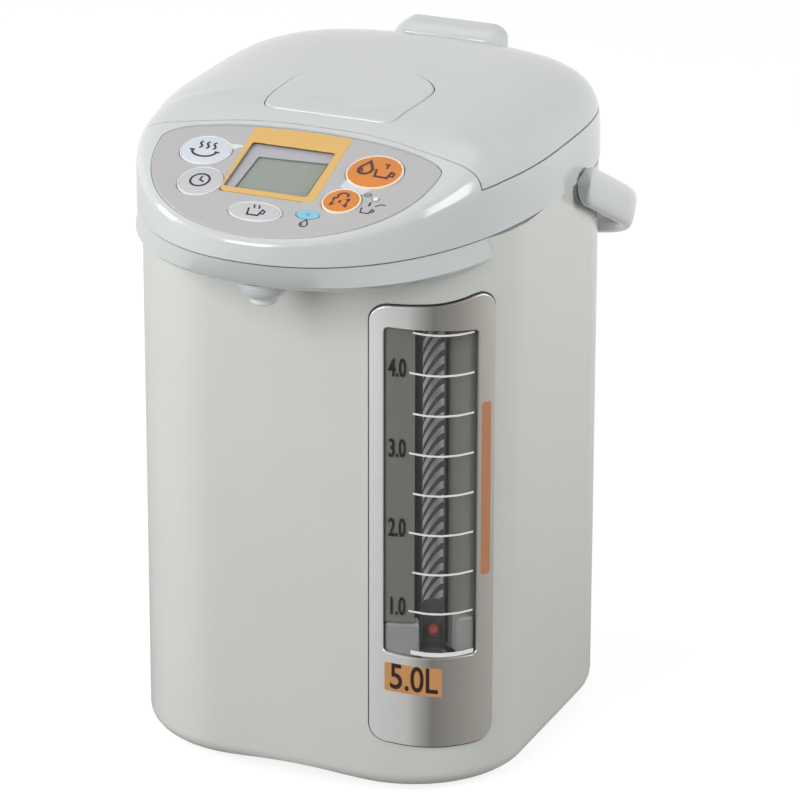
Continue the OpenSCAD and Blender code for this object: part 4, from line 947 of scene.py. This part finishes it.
# slanting pale bands on the hollow side of the strip
BAND_RISE, BAND_STEP, BAND_HALF = 7.6, 7.4, 2.0  # rise from the middle to a side, spacing, half width
STRIP_LOW, STRIP_HIGH = 101.5, 251.5
angles = np.radians(np.linspace(98, 262, 22)) + T_A
verts, faces = [], []
for k in range(-3, 26):
    base_z, first = 76.0 + BAND_STEP * k, len(verts)
    for a in angles:
        z = base_z + BAND_RISE * math.sin(a - T_A)
        for r in (5.47, 5.28):
            for up in (z - BAND_HALF, z + BAND_HALF):
                verts.append((T_X + r * math.cos(a), T_Y + r * math.sin(a),
                              min(max(up, STRIP_LOW), STRIP_HIGH)))
    for q in range(first, first + 4 * (len(angles) - 1), 4):
        faces += [(q, q + 4, q + 5, q + 1), (q + 2, q + 3, q + 7, q + 6), (q, q + 2, q + 6, q + 4),
                  (q + 1, q + 5, q + 7, q + 3)]
place(obj_from("gauge_bands", verts, faces, "band", True, 40), body="base")
for node in ("gauge_strip", "gauge_float"):
    welded(node)

# glass tube: its outer surface alone, so that the light reaches what stands behind it
tube = nodes["gauge_tube"]
tube_z = [(tube.matrix_world @ v.co)[2] / MM for v in tube.data.vertices]
rim = disc(T_X, T_Y, TUBE_R)
n = len(rim)
verts = [(x, y, z) for z in (min(tube_z), max(tube_z)) for x, y in rim]
faces = ring_faces(0, n, 2) + [tuple(range(n - 1, -1, -1)), tuple(range(n, 2 * n))]
place(obj_from("gauge_tube_skin", verts, faces, "tube"), "gauge_tube")

# ---------------------------------------------------------------- handle

DROOP = math.radians(27)
ARM_IN, ARM_OUT, ARM_HALF_H = 104.8, 112.0, 10  # inner and outer face of an arm, and half its height
REACH, GRIP, ARM_R = 133.0, 15.0, 84.0  # pivot to the far side, the grip's depth, radius of its corners
STUB_R, STUB_IN, STUB_OUT, STUB_N = 4, 97.5, 106.5, 24  # the stubs that turn in the bearings


def handle_pairs():
    """Outer and inner plan points along the bail, and its half height, from one pivot to the other."""
    out = []
    for a in np.radians(np.linspace(90, 0, 13)[:-1]):
        y = -ARM_HALF_H * math.sin(a)
        out.append(((ARM_OUT, y), (ARM_IN, y), max(ARM_HALF_H * math.cos(a), 0.6)))
    for y in np.linspace(0, 44, 12):
        out.append(((ARM_OUT, y), (ARM_IN, y), ARM_HALF_H))
    for a in np.radians(np.linspace(0, 90, 40)):
        c, s = math.cos(a), math.sin(a)
        out.append(((28 + ARM_R * c, 49 + ARM_R * s), (32.8 + 72 * c, 46 + 72 * s), ARM_HALF_H))
    out.append(((14, REACH), (14, REACH - GRIP), ARM_HALF_H))
    return out + [((-o[0], o[1]), (-i[0], i[1]), h) for o, i, h in reversed(out)]


ring_n, verts = 32, []
pairs = handle_pairs()
for outer, inner, h in pairs:
    outer, inner = np.array(outer), np.array(inner)
    half = np.linalg.norm(outer - inner) / 2
    mid, u = (outer + inner) / 2, (outer - inner) / (2 * half)
    for a in np.linspace(0, 2 * math.pi, ring_n, endpoint=False):
        c, s = math.cos(a), math.sin(a)
        x = half * math.copysign(abs(c) ** (2 / 2.6), c)
        z = h * math.copysign(abs(s) ** (2 / 3.4), s)
        verts.append((mid[0] + u[0] * x, mid[1] + u[1] * x, z))
faces = ring_faces(0, ring_n, len(pairs))
faces += [tuple(range(ring_n)), tuple(range(len(verts) - 1, len(verts) - ring_n - 1, -1))]
for side in (-1, 1):
    first = len(verts)
    for x in (side * STUB_OUT, side * STUB_IN):
        verts += [(x, y, z) for y, z in oval(STUB_R, STUB_R, STUB_N)]
    faces += ring_faces(first, STUB_N, 2)
    faces += [tuple(range(first, first + STUB_N)), tuple(range(first + STUB_N, first + 2 * STUB_N))]
cd, sd = math.cos(DROOP), math.sin(DROOP)
verts = [(x, PIVOT_Y + y * cd + z * sd, PIVOT_Z - y * sd + z * cd) for x, y, z in verts]
place(obj_from("handle_skin", verts, faces, "cover", True, 50), "handle")

for node in ("outer_case", "beak_base", "spout_nozzle", "spout_tip", "handle_bearings", "bottom_cover",
             "rubber_feet", "power_inlet"):
    welded(node)

# ---------------------------------------------------------------- stage, lights, camera

FLOOR_HALF = 6000
corners = [(x * FLOOR_HALF, y * FLOOR_HALF, 0) for x, y in ((-1, -1), (1, -1), (1, 1), (-1, 1))]
floor = obj_from("floor", corners, [(0, 1, 2, 3)], "white", False)
floor_look, floor_tree, floor_shader = new_material("floor_pale")
floor_shader.inputs["Roughness"].default_value = 0.9
clouds = noise(floor_tree, 3, 3)


def math_node(t, op, a, b):
    m = t.nodes.new("ShaderNodeMath")
    m.operation = op
    for s, v in ((m.inputs[0], a), (m.inputs[1], b)):
        if isinstance(v, (int, float)):
            s.default_value = v
        else:
            t.links.new(v, s)
    return m.outputs[0]


def seen(t, place_from, front, y_dark, y_white):
    """How white the surroundings look: fully to the camera and through clear pieces, and in reflections
    fully behind the pot and down to the front share before it. 0 for the light that lands on things."""
    lp = t.nodes.new("ShaderNodeLightPath")
    c = t.nodes.new("ShaderNodeSeparateXYZ")
    t.links.new(t.nodes.new("ShaderNodeTexCoord").outputs[place_from], c.inputs[0])
    shade = ranged(t, c.outputs[1], front, 1.0, y_dark, y_white)
    gloss = math_node(t, "MULTIPLY", lp.outputs["Is Glossy Ray"], shade)
    clear = math_node(t, "MAXIMUM", lp.outputs["Is Camera Ray"], lp.outputs["Is Transmission Ray"])
    return math_node(t, "MAXIMUM", clear, gloss)


# the floor looks white but throws little light back up; the object's shadow stays on it
greys = mixed(floor_tree, clouds.outputs[0], (0.24, 0.24, 0.24), (0.27, 0.27, 0.27))
glow = math_node(floor_tree, "MULTIPLY", seen(floor_tree, "Object", 0.22, -0.1, 1.2), 0.84)
floor_tree.links.new(greys, floor_shader.inputs["Base Color"])
floor_shader.inputs["Emission Color"].default_value = (1, 1, 1, 1)
floor_tree.links.new(glow, floor_shader.inputs["Emission Strength"])
floor.data.materials.clear()
floor.data.materials.append(floor_look)

world = bpy.data.worlds.new("studio")
scene.world = world
world.use_nodes = True
sky = world.node_tree
soft = sky.nodes["Background"]
soft.inputs[0].default_value = (0.93, 0.95, 0.97, 1)
soft.inputs[1].default_value = 0.2
white = sky.nodes.new("ShaderNodeBackground")
white.inputs[0].default_value = (1, 1, 1, 1)
white.inputs[1].default_value = 1.0
mix = sky.nodes.new("ShaderNodeMixShader")
sky.links.new(seen(sky, "Generated", 0.35, -0.1, 0.35), mix.inputs[0])
sky.links.new(soft.outputs[0], mix.inputs[1])
sky.links.new(white.outputs[0], mix.inputs[2])
sky.links.new(mix.outputs[0], sky.nodes["World Output"].inputs[0])


def area(name, loc, size, power):
    """A soft rectangular lamp, in metres and watts, aimed at the middle of the pot."""
    light = bpy.data.lights.new(name, "AREA")
    light.shape = "RECTANGLE"
    light.size, light.size_y = size
    light.energy = power
    o = bpy.data.objects.new(name, light)
    o.location = loc
    o.rotation_mode = "QUATERNION"
    o.rotation_quaternion = (Vector((0, 0, 0.2)) - Vector(loc)).to_track_quat("-Z", "Y")
    scene.collection.objects.link(o)


area("key", (-0.65, -1.75, 1.0), (0.8, 1.4), 29)
area("left", (-1.75, -0.35, 0.9), (0.5, 1.4), 13)
area("side", (1.7, 0.1, 0.85), (0.8, 1.4), 20)
area("top", (-0.1, 0.35, 1.9), (1.2, 1.2), 2.5)

# camera fitted to the photograph: where it stands, and how it looks there
AZIMUTH, PITCH = math.radians(23.733), math.radians(21.383)
CAM_REACH, CAM_Z = 2.378374, 1.101977  # metres
PHOTO_PX, FOCAL_PX, AXIS_PX = 800, 4936.222, 371.925  # picture width, focal length, column of the axis
FILM = 36  # mm
fwd = Vector((-math.sin(AZIMUTH) * math.cos(PITCH), math.cos(AZIMUTH) * math.cos(PITCH), -math.sin(PITCH)))
right = Vector((math.cos(AZIMUTH), math.sin(AZIMUTH), 0))
up = right.cross(fwd)
off_axis = math.atan((PHOTO_PX / 2 - AXIS_PX) / FOCAL_PX)
look = fwd * math.cos(off_axis) + right * math.sin(off_axis)
side = right * math.cos(off_axis) - fwd * math.sin(off_axis)
cam_data = bpy.data.cameras.new("camera")
cam_data.lens, cam_data.sensor_width = FOCAL_PX / PHOTO_PX * FILM, FILM
cam_data.clip_start, cam_data.clip_end = 0.1, 50
cam = bpy.data.objects.new("camera", cam_data)
stand = (math.sin(AZIMUTH) * CAM_REACH, -math.cos(AZIMUTH) * CAM_REACH, CAM_Z)
cam.matrix_world = Matrix.Translation(stand) @ Matrix((side, up, -look)).transposed().to_4x4()
scene.collection.objects.link(cam)
scene.camera = cam
scene.view_settings.view_transform = "Standard"
